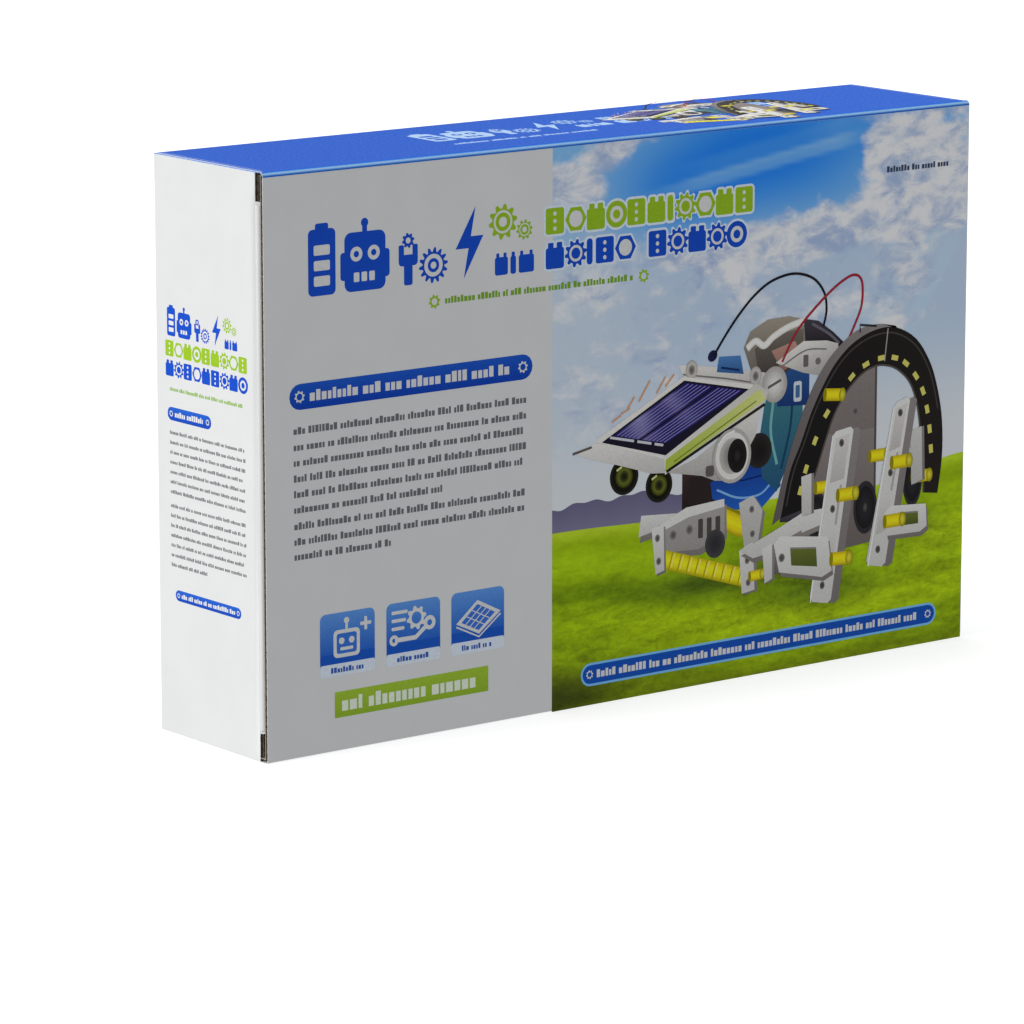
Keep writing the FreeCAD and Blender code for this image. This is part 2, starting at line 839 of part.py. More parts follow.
def eye(side, sign):
    """A headlight: a black cup that opens downwards, with a lens and its bulb inside."""
    x, y = f"head_x + {sign} * eye_spread", "eye_radius + flap_gap"
    low = "head_low - eye_wall"
    cup = rod("eye_radius", "eye_length", (x, y, low), "+Z")
    hollow = rod("eye_radius - eye_wall", "eye_length - eye_wall", (x, y, low), "+Z")
    node(cut(cup, hollow), f"{side}_eye_cup")
    lens = rod("eye_radius - eye_wall - flap_gap", "2 * eye_wall", (x, y, "head_low + eye_wall"), "+Z")
    bulb = rod("eye_radius / 3", "4 * eye_wall", (x, y, "head_low + 3 * eye_wall"), "+Z")
    node(fuse(lens, bulb), f"{side}_eye_lens")


def neck_bracket():
    """The bracket that the head tilts on: a hub with a pin at each end, two arms and a cross bar."""
    hub = rod(
        "neck_hub_radius",
        "2 * cheek_inside - 2 * panel_clearance",
        ("head_x - cheek_inside + panel_clearance", "ear_y", "ear_z"),
        "+X",
    )
    pivot = rod(
        "pivot_radius",
        "2 * (cheek_inside + cheek_thickness)",
        ("head_x - cheek_inside - cheek_thickness", "ear_y", "ear_z"),
        "+X",
    )
    y = "ear_y - neck_depth / 2"
    arms = [
        block(("neck_hub_radius", "neck_depth", "neck_length"), (x, y, "ear_z"))
        for x in ("head_x - neck_half", "head_x + neck_half - neck_hub_radius")
    ]
    bar_height = "1.5 * neck_hub_radius"
    bar = block(
        ("2 * neck_half", "neck_depth", bar_height),
        ("head_x - neck_half", y, f"ear_z + neck_length - {bar_height}"),
    )
    node(fuse(hub, pivot, *arms, bar), "neck_bracket")


def solar_head():
    head_frame()
    clear = "panel_clearance"
    panel = block(
        (f"panel_length - 2 * {clear}", f"panel_recess - {clear}", f"panel_height - 2 * {clear}"),
        (
            f"head_x - panel_length / 2 + {clear}",
            "-head_thickness",
            f"head_low + panel_margin + {clear}",
        ),
    )
    node(panel, "solar_panel")
    for side, sign in SIDES:
        head_stripe(side, sign)
        ear_disc(side, sign)
        eye(side, sign)
    neck_bracket()


# ---------------------------------------------------------------- loose parts


def moulded_bar(label, kind, x, z):
    """A leg or a link: a round-ended bar with a hole at each end and a recess that leaves a rim and a web."""
    length, width, thickness = f"{kind}_length", f"{kind}_width", f"{kind}_thickness"
    body = new_body(label)
    outline = new_sketch(body, "XZ_Plane")
    rectangle(
        outline, (f"-{length} / 2", f"-{width} / 2"), (f"{length} / 2", f"{width} / 2")
    )
    blank = pad(body, outline, thickness)
    round_edges(body, blank, f"{width} / 2 - paper_gap", runs_along("Y"))
    recess = new_sketch(body, "XZ_Plane")
    rectangle(
        recess,
        (f"-{length} / 2 + {width}", f"-{width} / 2 + bar_rim"),
        (f"{length} / 2 - {width}", f"{width} / 2 - bar_rim"),
    )
    cut_recess(body, recess, f"{thickness} - bar_web")
    holes = new_sketch(body, "XZ_Plane")
    for sign in (-1, 1):
        circle(holes, f"{sign} * ({length} - {width}) / 2", 0, "hole_radius")
    cut_through(body, holes)
    place(body, x, "rest", z)


def legs_and_links():
    """Four legs, one above another, with four links above them."""
    middle = POCKETS[4][0] + POCKETS[4][1] / 2
    for n in range(4):
        z = f"row_low + leg_width * 0.54 + {n} * 1.2 * leg_width"
        moulded_bar(f"leg_{n + 1}", "leg", middle, z)
    for n in range(4):
        column, level = n % 2, n // 2
        x = f"{middle} + {2 * column - 1} * (link_length / 2 + bar_rim)"
        z = f"row_low + 5.3 * leg_width + {level} * 1.15 * link_width"
        moulded_bar(f"link_{n + 1}", "link", x, z)


def side_frame(side, sign):
    """A ladder-shaped bracket with a sloping foot, three windows and a hole near each corner."""
    body = new_body(f"{side}_side_frame")
    sketch = new_sketch(body, "XZ_Plane")
    half, top = "frame_length / 2", "frame_width / 2"
    polygon(
        sketch,
        [
            (f"-{half}", f"-{top}"),
            (f"{half} - 14", f"-{top}"),
            (half, f"-{top} + 12"),
            (half, f"{top} - 6"),
            (f"{half} - 8", top),
            (f"-{half}", top),
        ],
    )
    pad(body, sketch, "frame_thickness")
    windows = new_sketch(body, "XZ_Plane")
    for low in (-24, -9, 6):
        rectangle(windows, (low, f"-{top} + frame_rim"), (low + 11, f"{top} - frame_rim"))
    cut_through(body, windows)
    holes = new_sketch(body, "XZ_Plane")
    for across, up in ((-25, -13), (-25, 13), (12, -13), (18, 13)):
        circle(holes, across, up, "hole_radius")
    cut_through(body, holes)
    middle = POCKETS[4][0] + POCKETS[4][1] / 2
    x = f"{middle} + {sign} * (frame_length / 2 + 1.5 * bar_rim)"
    place(body, x, "rest - leg_thickness - panel_clearance", "row_low + frame_width")


def crank_disc(side, level):
    """A black disc with a hub, a shaft hole and three round windows."""
    z = f"row_high + {level} * high_row_height / 4"
    back = f"rest + {THROUGH / 2}"
    depth = f"2 * crank_thickness + {THROUGH}"
    disc = rod("crank_radius", "crank_thickness", ("crank_x", "rest", z), "-Y")
    hub = rod("crank_hub", "1.6 * crank_thickness", ("crank_x", "rest", z), "-Y")
    holes = [rod("shaft_radius + running_gap", depth, ("crank_x", back, z), "-Y")]
    for degrees in (90, 210, 330):
        window = (
            f"crank_x + crank_hole_ring * cos({degrees})",
            back,
            f"{z} + crank_hole_ring * sin({degrees})",
        )
        holes.append(rod("1.5 * hole_radius", depth, window, "-Y"))
    node(cut(fuse(disc, hub), *holes), f"{side}_crank_disc")


def connector_pins():
    """Twelve connector pins in two columns, each with a collar in the middle and a bead at each end."""
    made = []
    for n in range(12):
        column, level = n % 2, n // 2
        x = f"crank_x + {column - 1} * (pin_length + 2 * pin_radius)"
        z = f"row_high + (1 + 1.7 * {level}) * pin_length * 0.57"
        stem = rod("pin_radius", "pin_length", (x, "pin_y", z), "+X")
        collar = rod("pin_collar_radius", "pin_radius", (f"{x} + pin_length / 2", "pin_y", z), "+X")
        beads = [
            rod("1.25 * pin_radius", "pin_radius / 2", (f"{x} + {start}", "pin_y", z), "+X")
            for start in ("pin_radius / 4", "pin_length - 3 * pin_radius / 4")
        ]
        made.append(fuse(stem, collar, *beads))
    node(group(*made), "connector_pins")


def cross_tube(name, level):
    """A tube with a row of ribs around it."""
    z = f"row_low + 6 + {level} * 2.5 * tube_rib_radius"
    core = rod("tube_radius", "tube_length", ("tube_x", "tube_y", z), "+X")
    ribs = [
        rod(
            "tube_rib_radius",
            "tube_rib_width",
            (f"tube_x + tube_rib_width + {n} * tube_rib_step", "tube_y", z),
            "+X",
        )
        for n in range(8)
    ]
    bore = rod(
        "hole_radius", f"tube_length + {THROUGH}", (f"tube_x - {THROUGH / 2}", "tube_y", z), "+X"
    )
    node(cut(fuse(core, *ribs), bore), f"{name}_cross_tube")


def drive_hood():
    """The half-round cover that goes over the drive unit, lying on its rim, with four slots in its crown."""
    rim = "rest - flap_gap"
    outer = rod("hood_radius", "hood_length", ("hood_x", rim, "hood_z"), "+X")
    inner = rod(
        "hood_radius - hood_wall",
        "hood_length - 2 * hood_wall",
        ("hood_x + hood_wall", rim, "hood_z"),
        "+X",
    )
    lower_half = block(
        ("hood_length + 2 * hood_wall", "hood_radius + hood_wall", "2 * (hood_radius + hood_wall)"),
        ("hood_x - hood_wall", rim, "hood_z - hood_radius - hood_wall"),
    )
    slots = [
        block(
            ("1.5 * hood_wall", "4 * hood_wall", "8 * hood_wall"),
            (
                f"hood_x + (5 + 3.6 * {n}) * hood_wall",
                f"{rim} - hood_radius - hood_wall",
                "hood_z - 4 * hood_wall",
            ),
        )
        for n in range(4)
    ]
    node(cut(outer, inner, lower_half, *slots), "drive_hood")


carton_sleeve()
for side, sign in SIDES:
    end_flap(side, sign)
    tuck_flap(side, sign)
    dust_flap(side, sign, "top")
    dust_flap(side, sign, "bottom")
inner_tray()
papers()
arch("left", "rest")
arch("right", "front_arch_back")
drive_unit()
solar_head()
legs_and_links()
for side, sign in SIDES:
    side_frame(side, sign)
    crank_disc(side, 2 + sign)
connector_pins()
cross_tube("front", 0)
cross_tube("rear", 1)
drive_hood()

doc.recompute()
failed = [o.Label for o in doc.Objects if "Invalid" in o.State or "Error" in o.State]
if failed:
    raise RuntimeError(f"these objects failed: {failed}")
for thing in nodes:
    if thing.Shape.isNull() or not thing.Shape.isValid() or not thing.Shape.Solids:
        raise RuntimeError(f"{thing.Label} has no valid shape")
os.makedirs("parts", exist_ok=True)
for thing in nodes:
    thing.Shape.exportStep(os.path.join("parts", thing.Label + ".step"))
print(len(nodes), "sub-parts written")
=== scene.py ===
"""A boxed solar robot kit: the printed carton of corrugated board, its flaps, and the parts inside it."""

import json
import math

import bmesh
import bpy
import numpy as np
from bpy.props import FloatProperty, FloatVectorProperty, IntProperty, PointerProperty
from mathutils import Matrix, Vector


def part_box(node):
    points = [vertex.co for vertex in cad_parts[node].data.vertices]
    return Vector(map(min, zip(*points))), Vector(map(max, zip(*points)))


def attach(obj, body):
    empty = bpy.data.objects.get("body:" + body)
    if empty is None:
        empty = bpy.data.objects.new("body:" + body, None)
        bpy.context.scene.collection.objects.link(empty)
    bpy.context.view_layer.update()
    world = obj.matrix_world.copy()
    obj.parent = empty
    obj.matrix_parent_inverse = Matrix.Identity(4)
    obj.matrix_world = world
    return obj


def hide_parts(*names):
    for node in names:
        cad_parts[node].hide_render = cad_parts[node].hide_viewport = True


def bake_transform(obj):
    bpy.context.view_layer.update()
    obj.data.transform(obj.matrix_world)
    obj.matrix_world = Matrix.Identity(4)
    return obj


bl_info = {
    "name": "Boxed Solar Robot Kit",
    "version": (1, 0, 0),
    "blender": (4, 5, 0),
    "location": "3D View > Sidebar > Kit",
    "description": "Builds the board, print and finishes of a boxed robot kit around its frame",
    "category": "Object",
}

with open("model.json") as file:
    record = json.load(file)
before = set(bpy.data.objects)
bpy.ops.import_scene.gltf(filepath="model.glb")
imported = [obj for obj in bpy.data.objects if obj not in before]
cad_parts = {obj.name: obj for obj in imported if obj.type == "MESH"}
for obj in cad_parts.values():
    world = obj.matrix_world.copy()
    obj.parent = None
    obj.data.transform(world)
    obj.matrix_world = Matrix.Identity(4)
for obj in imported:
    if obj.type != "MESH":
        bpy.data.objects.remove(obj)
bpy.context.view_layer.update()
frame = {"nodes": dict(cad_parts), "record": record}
MM = 0.001
HIGH = np.array(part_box("carton_sleeve")[1]) / MM
END_LOW, END_HIGH = (np.array(corner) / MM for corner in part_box("left_end_flap"))
HALF_LENGTH, HALF_DEPTH, HEIGHT = -END_LOW[0], HIGH[1], HIGH[2]
BOARD = END_HIGH[0] - END_LOW[0]
LOW_X = -END_HIGH[0] - 0.2


# ------------------------------------------------------------------ settings


def colour_setting(name, description, default):
    """A colour with no alpha, given in display values."""
    return FloatVectorProperty(
        name=name, description=description, subtype="COLOR_GAMMA", size=3, default=default, min=0, max=1
    )


def size_setting(name, description, default):
    """A plain length in millimetres."""
    return FloatProperty(name=name, description=description, default=default, min=0)


class KitBoardSettings(bpy.types.PropertyGroup):
    """Sizes and colours of the corrugated board."""

    liner: size_setting("Liner", "Thickness of each paper liner, in millimetres", 0.2)
    paper: size_setting("Fluting paper", "Thickness of the waved paper, in millimetres", 0.14)
    pitch: size_setting("Flute pitch", "Length of one wave of the fluting, in millimetres", 3.2)
    bend: size_setting("Crease radius", "Outer radius of each crease, in millimetres", 1.6)
    white: colour_setting("Coated white", "Printed side of the board", (0.90, 0.902, 0.90))
    grey: colour_setting("Inner grey", "Inside of the board", (0.72, 0.69, 0.65))
    brown: colour_setting("Fluting brown", "Waved paper between the liners", (0.52, 0.43, 0.33))


class KitPrintSettings(bpy.types.PropertyGroup):
    """Sizes and colours of the print."""

    step: size_setting("Ink step", "How far a printed shape lies above the one under it, in millimetres",
                       0.006)
    ink: size_setting("Ink depth", "Depth of one printed shape, in millimetres", 0.02)
    blue: colour_setting("Title blue", "Large title and the bands", (0.10, 0.32, 0.80))
    green: colour_setting("Title green", "Upper title line and the banner", (0.62, 0.78, 0.16))
    top_blue: colour_setting("Top blue", "Top panel", (0.0, 0.35, 0.81))
    text: colour_setting("Text grey", "Small text blocks", (0.45, 0.455, 0.47))
    seed: IntProperty(name="Seed", description="Seed of the word lengths", default=7, min=0)


class KitStageSettings(bpy.types.PropertyGroup):
    """Camera and light."""

    azimuth: FloatProperty(
        name="Azimuth", description="Where the camera stands", subtype="ANGLE", default=math.radians(-37.85)
    )
    elevation: FloatProperty(
        name="Elevation", description="How high the camera looks from", subtype="ANGLE",
        default=math.radians(11.53)
    )
    distance: FloatProperty(
        name="Distance", description="Camera to the box, along the view", unit="LENGTH", default=1.866
    )
    right: FloatProperty(
        name="Right", description="How far right of the view's middle the box is", unit="LENGTH",
        default=0.0224
    )
    above: FloatProperty(
        name="Above", description="How far above the view's middle the box is", unit="LENGTH", default=0.0376
    )
    lens: FloatProperty(name="Lens", description="Focal length, in millimetres", default=185.0, min=1)
    sun: FloatProperty(name="Sun", description="Strength of the key light", default=2.1, min=0)
    sky: FloatProperty(name="Sky", description="Strength of the ambient light", default=0.47, min=0)


def settings(group):
    return getattr(bpy.context.scene, group)


# ------------------------------------------------------------------ meshes


def slab(low, high, wrap):
    """Closed slab between two grids of points, low and high, each (rows, columns, 3).

    The high grid is one face of the slab and the low grid the other, and a strip of faces joins their edges.
    With wrap, the last row joins the first. Returns the points and the faces, as indices of four points.
    """
    rows, columns = low.shape[:2]
    index = np.arange(rows * columns).reshape(rows, columns)
    if wrap:
        index = np.vstack([index, index[:1]])
    a, b, c, d = index[:-1, :-1], index[1:, :-1], index[1:, 1:], index[:-1, 1:]
    top = np.stack([a, b, c, d], -1).reshape(-1, 4)
    count = rows * columns
    faces = [top, top[:, ::-1] + count]
    rims = [index[:, 0], index[::-1, -1]]
    if not wrap:
        rims += [index[0, ::-1], index[-1]]
    flat = high.reshape(-1, 3)
    for rim in rims:
        if not np.ptp(flat[rim], axis=0).any():
            continue
        start, end = rim[:-1], rim[1:]
        faces.append(np.stack([end, start, start + count, end + count], -1))
    points = np.concatenate([high.reshape(-1, 3), low.reshape(-1, 3)])
    return points, np.concatenate(faces)


def make_piece(name, parts, material, attributes=()):
    """One mesh from (points in mm, faces, {attribute: values}) parts, with doubles merged and faces
    outwards.
    """
    points, faces, count = [], [], 0
    for part in parts:
        points.append(part[0])
        faces.append(part[1] + count)
        count += len(part[0])
    mesh = bpy.data.meshes.new(name)
    mesh.from_pydata((np.concatenate(points) * MM).tolist(), [], np.concatenate(faces).tolist())
    for attribute, kind, size in attributes:
        values = np.concatenate([part[2][attribute] for part in parts]).astype(np.float32)
        layer = mesh.attributes.new(attribute, kind, "POINT")
        layer.data.foreach_set("color" if size == 4 else "value", values.ravel())
    net = bmesh.new()
    net.from_mesh(mesh)
    bmesh.ops.remove_doubles(net, verts=net.verts, dist=1e-7)
    bmesh.ops.dissolve_degenerate(net, edges=net.edges, dist=1e-8)
    bmesh.ops.recalc_face_normals(net, faces=net.faces)
    net.to_mesh(mesh)
    net.free()
    mesh.shade_smooth()
    mesh.set_sharp_from_angle(angle=math.radians(35))
    mesh.materials.append(material)
    piece = bpy.data.objects.new(name, mesh)
    bpy.context.scene.collection.objects.link(piece)
    return piece


# ------------------------------------------------------------------ materials


def linear(colour):
    """Display values to linear light, by the sRGB curve."""
    colour = np.asarray(colour, float)
    return np.where(colour < 0.04045, colour / 12.92, ((colour + 0.055) / 1.055) ** 2.4)


class Nodes:
    """A material and short ways to add and join its nodes."""

    def __init__(self, name, **sockets):
        self.material = bpy.data.materials.new(name)
        self.material.use_nodes = True
        self.tree = self.material.node_tree
        self.shader = self.tree.nodes["Principled BSDF"]
        for socket, value in sockets.items():
            self.shader.inputs[socket.replace("_", " ")].default_value = value

    def add(self, kind, links=(), **values):
        node = self.tree.nodes.new(kind)
        for name, value in values.items():
            if hasattr(node, name):
                setattr(node, name, value)
            else:
                node.inputs[name.replace("_", " ")].default_value = value
        for socket, source in dict(links).items():
            self.tree.links.new(source, node.inputs[socket])
        return node

    def place(self, scale=(1, 1, 1), turn=(0, 0, 0)):
        """Object coordinates, scaled and turned."""
        coordinates = self.add("ShaderNodeTexCoord").outputs["Object"]
        node = self.add("ShaderNodeMapping", {"Vector": coordinates}, Scale=scale, Rotation=turn)
        return node.outputs["Vector"]

    def noise(self, vector, scale, detail=4.0, roughness=0.55, distortion=0.0):
        node = self.add(
            "ShaderNodeTexNoise",
            {"Vector": vector},
            Scale=scale,
            Detail=detail,
            Roughness=roughness,
            Distortion=distortion,
        )
        return node.outputs["Fac"]

    def ramp(self, value, low, high, to_low=0.0, to_high=1.0):
        """value from low..high to to_low..to_high, smoothly and clamped."""
        node = self.add("ShaderNodeMapRange", {"Value": value}, interpolation_type="SMOOTHSTEP")
        for socket, number in zip(("From Min", "From Max", "To Min", "To Max"), (low, high, to_low, to_high)):
            node.inputs[socket].default_value = number
        return node.outputs["Result"]

    def math(self, operation, a, b):
        node = self.add("ShaderNodeMath", operation=operation)
        for socket, value in zip(node.inputs, (a, b)):
            if isinstance(value, bpy.types.NodeSocket):
                self.tree.links.new(value, socket)
            else:
                socket.default_value = value
        return node.outputs[0]

    def mix(self, factor, a, b, blend="MIX"):
        """Mixes two colours, each a socket or a display colour."""
        node = self.add("ShaderNodeMix", data_type="RGBA", blend_type=blend)
        for socket, value in zip((node.inputs[0], node.inputs[6], node.inputs[7]), (factor, a, b)):
            if isinstance(value, bpy.types.NodeSocket):
                self.tree.links.new(value, socket)
            elif isinstance(value, (int, float)):
                socket.default_value = value
            else:
                socket.default_value = (*linear(value), 1.0)
        return node.outputs[2]

    def attribute(self, name):
        return self.add("ShaderNodeAttribute", attribute_name=name)

    def colour(self, source):
        self.tree.links.new(source, self.shader.inputs["Base Color"])

    def roughness(self, source):
        self.tree.links.new(source, self.shader.inputs["Roughness"])

    def bump(self, height, strength, distance):
        node = self.add("ShaderNodeBump", {"Height": height}, Strength=strength, Distance=distance)
        self.tree.links.new(node.outputs["Normal"], self.shader.inputs["Normal"])


def coated_board():
    """White clay-coated liner: faint paper cloudiness in its colour and gloss, and a fine grain."""
    kit = settings("kit_board")
    nodes = Nodes("coated_board", Roughness=0.42, Specular_IOR_Level=0.3)
    place = nodes.place()
    cloud = nodes.ramp(nodes.noise(place, 60, 6), 0.3, 0.7)
    shade = tuple(0.988 * channel for channel in kit.white)
    nodes.colour(nodes.mix(cloud, shade, tuple(kit.white)))
    nodes.roughness(nodes.ramp(nodes.noise(place, 900, 3), 0.3, 0.7, 0.36, 0.5))
    nodes.bump(nodes.noise(place, 2600, 3), 0.12, 0.0001)
    return nodes.material


def grey_board():
    """Uncoated recycled liner with short darker and lighter fibres."""
    kit = settings("kit_board")
    nodes = Nodes("grey_board", Roughness=0.85)
    nodes.shader.inputs["Specular IOR Level"].default_value = 0.3
    fibres = nodes.noise(nodes.place((1, 1, 6)), 420, 5, 0.7, 1.5)
    dark = tuple(0.86 * channel for channel in kit.grey)
    mottle = nodes.mix(nodes.ramp(fibres, 0.35, 0.65), dark, tuple(kit.grey))
    flecks = nodes.ramp(nodes.noise(nodes.place(), 1500, 2), 0.68, 0.74)
    nodes.colour(nodes.mix(flecks, mottle, (0.45, 0.38, 0.31)))
    nodes.bump(fibres, 0.3, 0.00015)
    return nodes.material


def fluting_paper():
    """Brown waved paper, lightly streaked along its fibres."""
    kit = settings("kit_board")
    nodes = Nodes("fluting_paper", Roughness=0.9)
    streaks = nodes.noise(nodes.place((1, 1, 3)), 500, 4, 0.6)
    dark = tuple(0.8 * channel for channel in kit.brown)
    nodes.colour(nodes.mix(nodes.ramp(streaks, 0.3, 0.7), dark, tuple(kit.brown)))
    nodes.bump(streaks, 0.25, 0.0001)
    return nodes.material


def print_ink():
    """Offset ink: the shape's own colour with a trace of press mottle, and the grain of the board."""
    nodes = Nodes("print_ink", Roughness=0.5, Specular_IOR_Level=0.045)
    place = nodes.place()
    mottle = nodes.ramp(nodes.noise(place, 1400, 3, 0.6), 0.3, 0.7, 0.94, 1.05)
    nodes.colour(nodes.mix(1.0, nodes.attribute("ink").outputs["Color"], mottle, "MULTIPLY"))
    nodes.roughness(nodes.ramp(nodes.noise(place, 900, 3), 0.3, 0.7, 0.32, 0.46))
    nodes.bump(nodes.noise(place, 2600, 3), 0.1, 0.0001)
    return nodes.material


def scenery_ink():
    """Printed landscape. The cloud attribute says where cloud may form and noise gives it its edge; the grass
    attribute says how strongly stretched noise breaks the colour into blades and tufts."""
    nodes = Nodes("scenery_ink", Roughness=0.5, Specular_IOR_Level=0.06)
    ink = nodes.attribute("ink").outputs["Color"]
    cover = nodes.attribute("cloud").outputs["Fac"]
    grass = nodes.attribute("grass").outputs["Fac"]

    billow = nodes.noise(nodes.place((1, 1, 1.5)), 42, 9, 0.58, 0.35)
    edge = nodes.math("ADD", nodes.math("MULTIPLY", nodes.math("SUBTRACT", billow, 0.5), 2.6), cover)
    density = nodes.ramp(edge, 0.28, 0.82)
    shade = nodes.ramp(nodes.noise(nodes.place((1, 1, 1.8)), 75, 7, 0.6, 0.4), 0.34, 0.62)
    cloud = nodes.mix(shade, (0.70, 0.78, 0.92), (0.985, 0.985, 0.99))
    sky = nodes.mix(density, ink, cloud)

    blades = nodes.noise(nodes.place((1, 1, 1.7), (0, 0.25, 0)), 330, 6, 0.65, 0.6)
    tufts = nodes.noise(nodes.place((1, 1, 4.0)), 48, 5, 0.6, 0.5)
    tone = nodes.math("ADD", nodes.math("MULTIPLY", blades, 0.55), nodes.math("MULTIPLY", tufts, 0.75))
    gain = nodes.math("ADD", 1.0, nodes.math("MULTIPLY", nodes.math("SUBTRACT", tone, 0.65), grass))
    lawn = nodes.mix(1.0, ink, gain, "MULTIPLY")
    nodes.colour(nodes.mix(nodes.ramp(grass, 0.0, 0.01), sky, lawn))
    nodes.roughness(nodes.ramp(nodes.noise(nodes.place(), 900, 3), 0.3, 0.7, 0.32, 0.46))
    return nodes.material


# ------------------------------------------------------------------ corrugated board


def bent_profile(corners, radius, closed):
    """A path of straight runs with rounded corners, as arc lengths, points and outward normals.

    The path goes round the board with the outside on its left. Each corner is an arc of the given
    radius, and a point in between is found by its distance along the path.
    """
    corners = np.array(corners, float)
    count = len(corners)
    points, normals = [], []
    inner = range(count) if closed else range(1, count - 1)

    def facing(start, end):
        run = (end - start) / np.linalg.norm(end - start)
        return np.array([-run[1], run[0]])

    if not closed:
        points.append(corners[:1])
        normals.append(facing(corners[0], corners[1])[None])
    for n in inner:
        before = facing(corners[n - 1], corners[n])
        after = facing(corners[n], corners[(n + 1) % count])
        centre = corners[n] - radius * (before + after)
        share = np.linspace(0, math.pi / 2, 7)[:, None]
        turn = before * np.cos(share) + after * np.sin(share)
        points.append(centre + radius * turn)
        normals.append(turn)
    if not closed:
        points.append(corners[-1:])
        normals.append(facing(corners[-2], corners[-1])[None])
    points, normals = np.concatenate(points), np.concatenate(normals)
    if closed:
        points = np.vstack([points, points[:1]])
        normals = np.vstack([normals, normals[:1]])
    steps = np.linalg.norm(np.diff(points, axis=0), axis=1)
    return np.concatenate([[0], np.cumsum(steps)]), points, normals


def on_profile(profile, along, depth):
    """Points of the path at distances along it, moved in by depth."""
    lengths, points, normals = profile
    found = [
        np.stack([np.interp(along, lengths, table[:, k]) for k in (0, 1)], -1) for table in (points, normals)
    ]
    return found[0] - found[1] * depth[..., None]


def board_piece(name, nodes, body, profile, space, grid, waves, wrap=False):
    """One panel or sleeve of corrugated board: two liners and the waved paper between them.

    grid(dense) gives two arrays, the distance along the profile and the place along the fold, for each
    point of the sheet. waves turns those two arrays into the distance across the flutes. A liner lies
    at one depth, and the waved paper's depth is a sine of that distance. space turns profile points and
    fold places into x, y, z.
    """
    kit = settings("kit_board")
    middle = BOARD / 2
    swing = middle - kit.liner - kit.paper / 2

    def layer(dense, depth_low, depth_high):
        along, fold = grid(dense)
        wave = middle + swing * np.sin(math.tau * waves(along, fold) / kit.pitch) if dense else 0 * along
        low, high = (space(on_profile(profile, along, wave + depth),
                           fold) for depth in (depth_low, depth_high))
        return slab(low, high, wrap)

    parts = (
        ("outer", layer(False, kit.liner, 0.0), coated_board),
        ("inner", layer(False, BOARD, BOARD - kit.liner), grey_board),
        ("fluting", layer(True, kit.paper / 2, -kit.paper / 2), fluting_paper),
    )
    for label, part, finish in parts:
        piece = make_piece(f"{name}_{label}", [part], board_finish(finish))
        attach(piece, body)
    for node in nodes:
        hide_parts(node)


def board_finish(maker):
    """The finish of that name, made once."""
    return bpy.data.materials.get(maker.__name__) or maker()


def flap_grid(first, last, reach, folds):
    """A grid for a flap: rows along the profile from 0 to reach, columns along the fold from first to
    last.
    """

    def grid(dense):
        pitch = settings("kit_board").pitch
        places = np.arange(first, last, pitch / 10) if dense else np.array(sorted({first, last, *folds}))
        if dense:
            places = np.append(places, last)
        share = np.linspace(0, 1, 25)[:, None]
        fold = np.broadcast_to(places, (25, len(places)))
        low, high = reach(fold)
        return low + (high - low) * share, fold

    return grid


def upright(sign):
    """Profile points and heights to x, y, z at one end, for folds that stand upright."""
    return lambda flat, fold: np.stack([sign * flat[..., 0], flat[..., 1], fold], -1)


def rounded_end(distance, radius):
    """How far a corner of that radius pulls an edge back, at a distance from the side."""
    inside = np.clip(radius - distance, 0, radius)
    return radius - np.sqrt(np.maximum(radius**2 - inside**2, 0))


def carton_sleeve():
    """The tube of four panels. Only the front one runs to the ends, and the flutes run along the tube."""
    kit = settings("kit_board")
    half_y, high = HALF_DEPTH, HEIGHT
    corners = [(-half_y, 0), (-half_y, high), (half_y, high), (half_y, 0)]
    profile = bent_profile(corners, kit.bend, True)
    lengths = profile[0]
    end = END_HIGH[0]
    front_edge = -half_y + kit.bend + 0.01

    def grid(dense):
        around = np.arange(0, lengths[-1], kit.pitch / 10)[:-1] if dense else lengths[:-1]
        nudge = lengths[:-1] + 0.02
        around = np.sort(np.concatenate([around, lengths[:-1], nudge]))
        y = on_profile(profile, around, np.zeros_like(around))[:, 0]
        reach = np.where(y < front_edge, HIGH[0], -end - 0.1)
        along = np.broadcast_to(around[:, None], (len(around), 2))
        return along, reach[:, None] * np.array([-1.0, 1.0])

    def space(flat, fold):
        return np.stack([fold, flat[..., 0], flat[..., 1]], -1)

    board_piece(
        "sleeve", ["carton_sleeve"], "box", profile, space, grid, lambda along, fold: along, wrap=True
    )


def end_flap(side, sign):
    """End panel: from the hinge, round its back crease, across the end and round the front crease."""
    kit = settings("kit_board")
    outside = HALF_LENGTH
    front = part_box(f"{side}_end_flap")[0].y / MM
    profile = bent_profile(
        [
            (outside - BOARD, HALF_DEPTH),
            (outside, HALF_DEPTH),
            (outside, front),
            (outside - BOARD, front),
        ],
        kit.bend * 0.93,
        False,
    )
    total = profile[0][-1]
    slot, cut = 10.0, 1.3
    low, high = END_LOW[2], END_HIGH[2]

    def reach(z):
        at_slot = np.minimum(z - low, high - z) < slot - 0.3
        return 0 * z + 0.05, total - np.where(at_slot, cut + 1.2, 0.0)

    folds = (low + slot - 0.35, low + slot - 0.25, high - slot + 0.25, high - slot + 0.35)

    board_piece(
        f"{side}_end",
        [f"{side}_end_flap"],
        f"{side}_end_panel",
        profile,
        upright(sign),
        flap_grid(low, high, reach, folds),
        lambda along, fold: fold,
    )


def straight_profile(start, end):
    """A single straight run, with the outside on its left."""
    return bent_profile([start, end], 0.0, False)


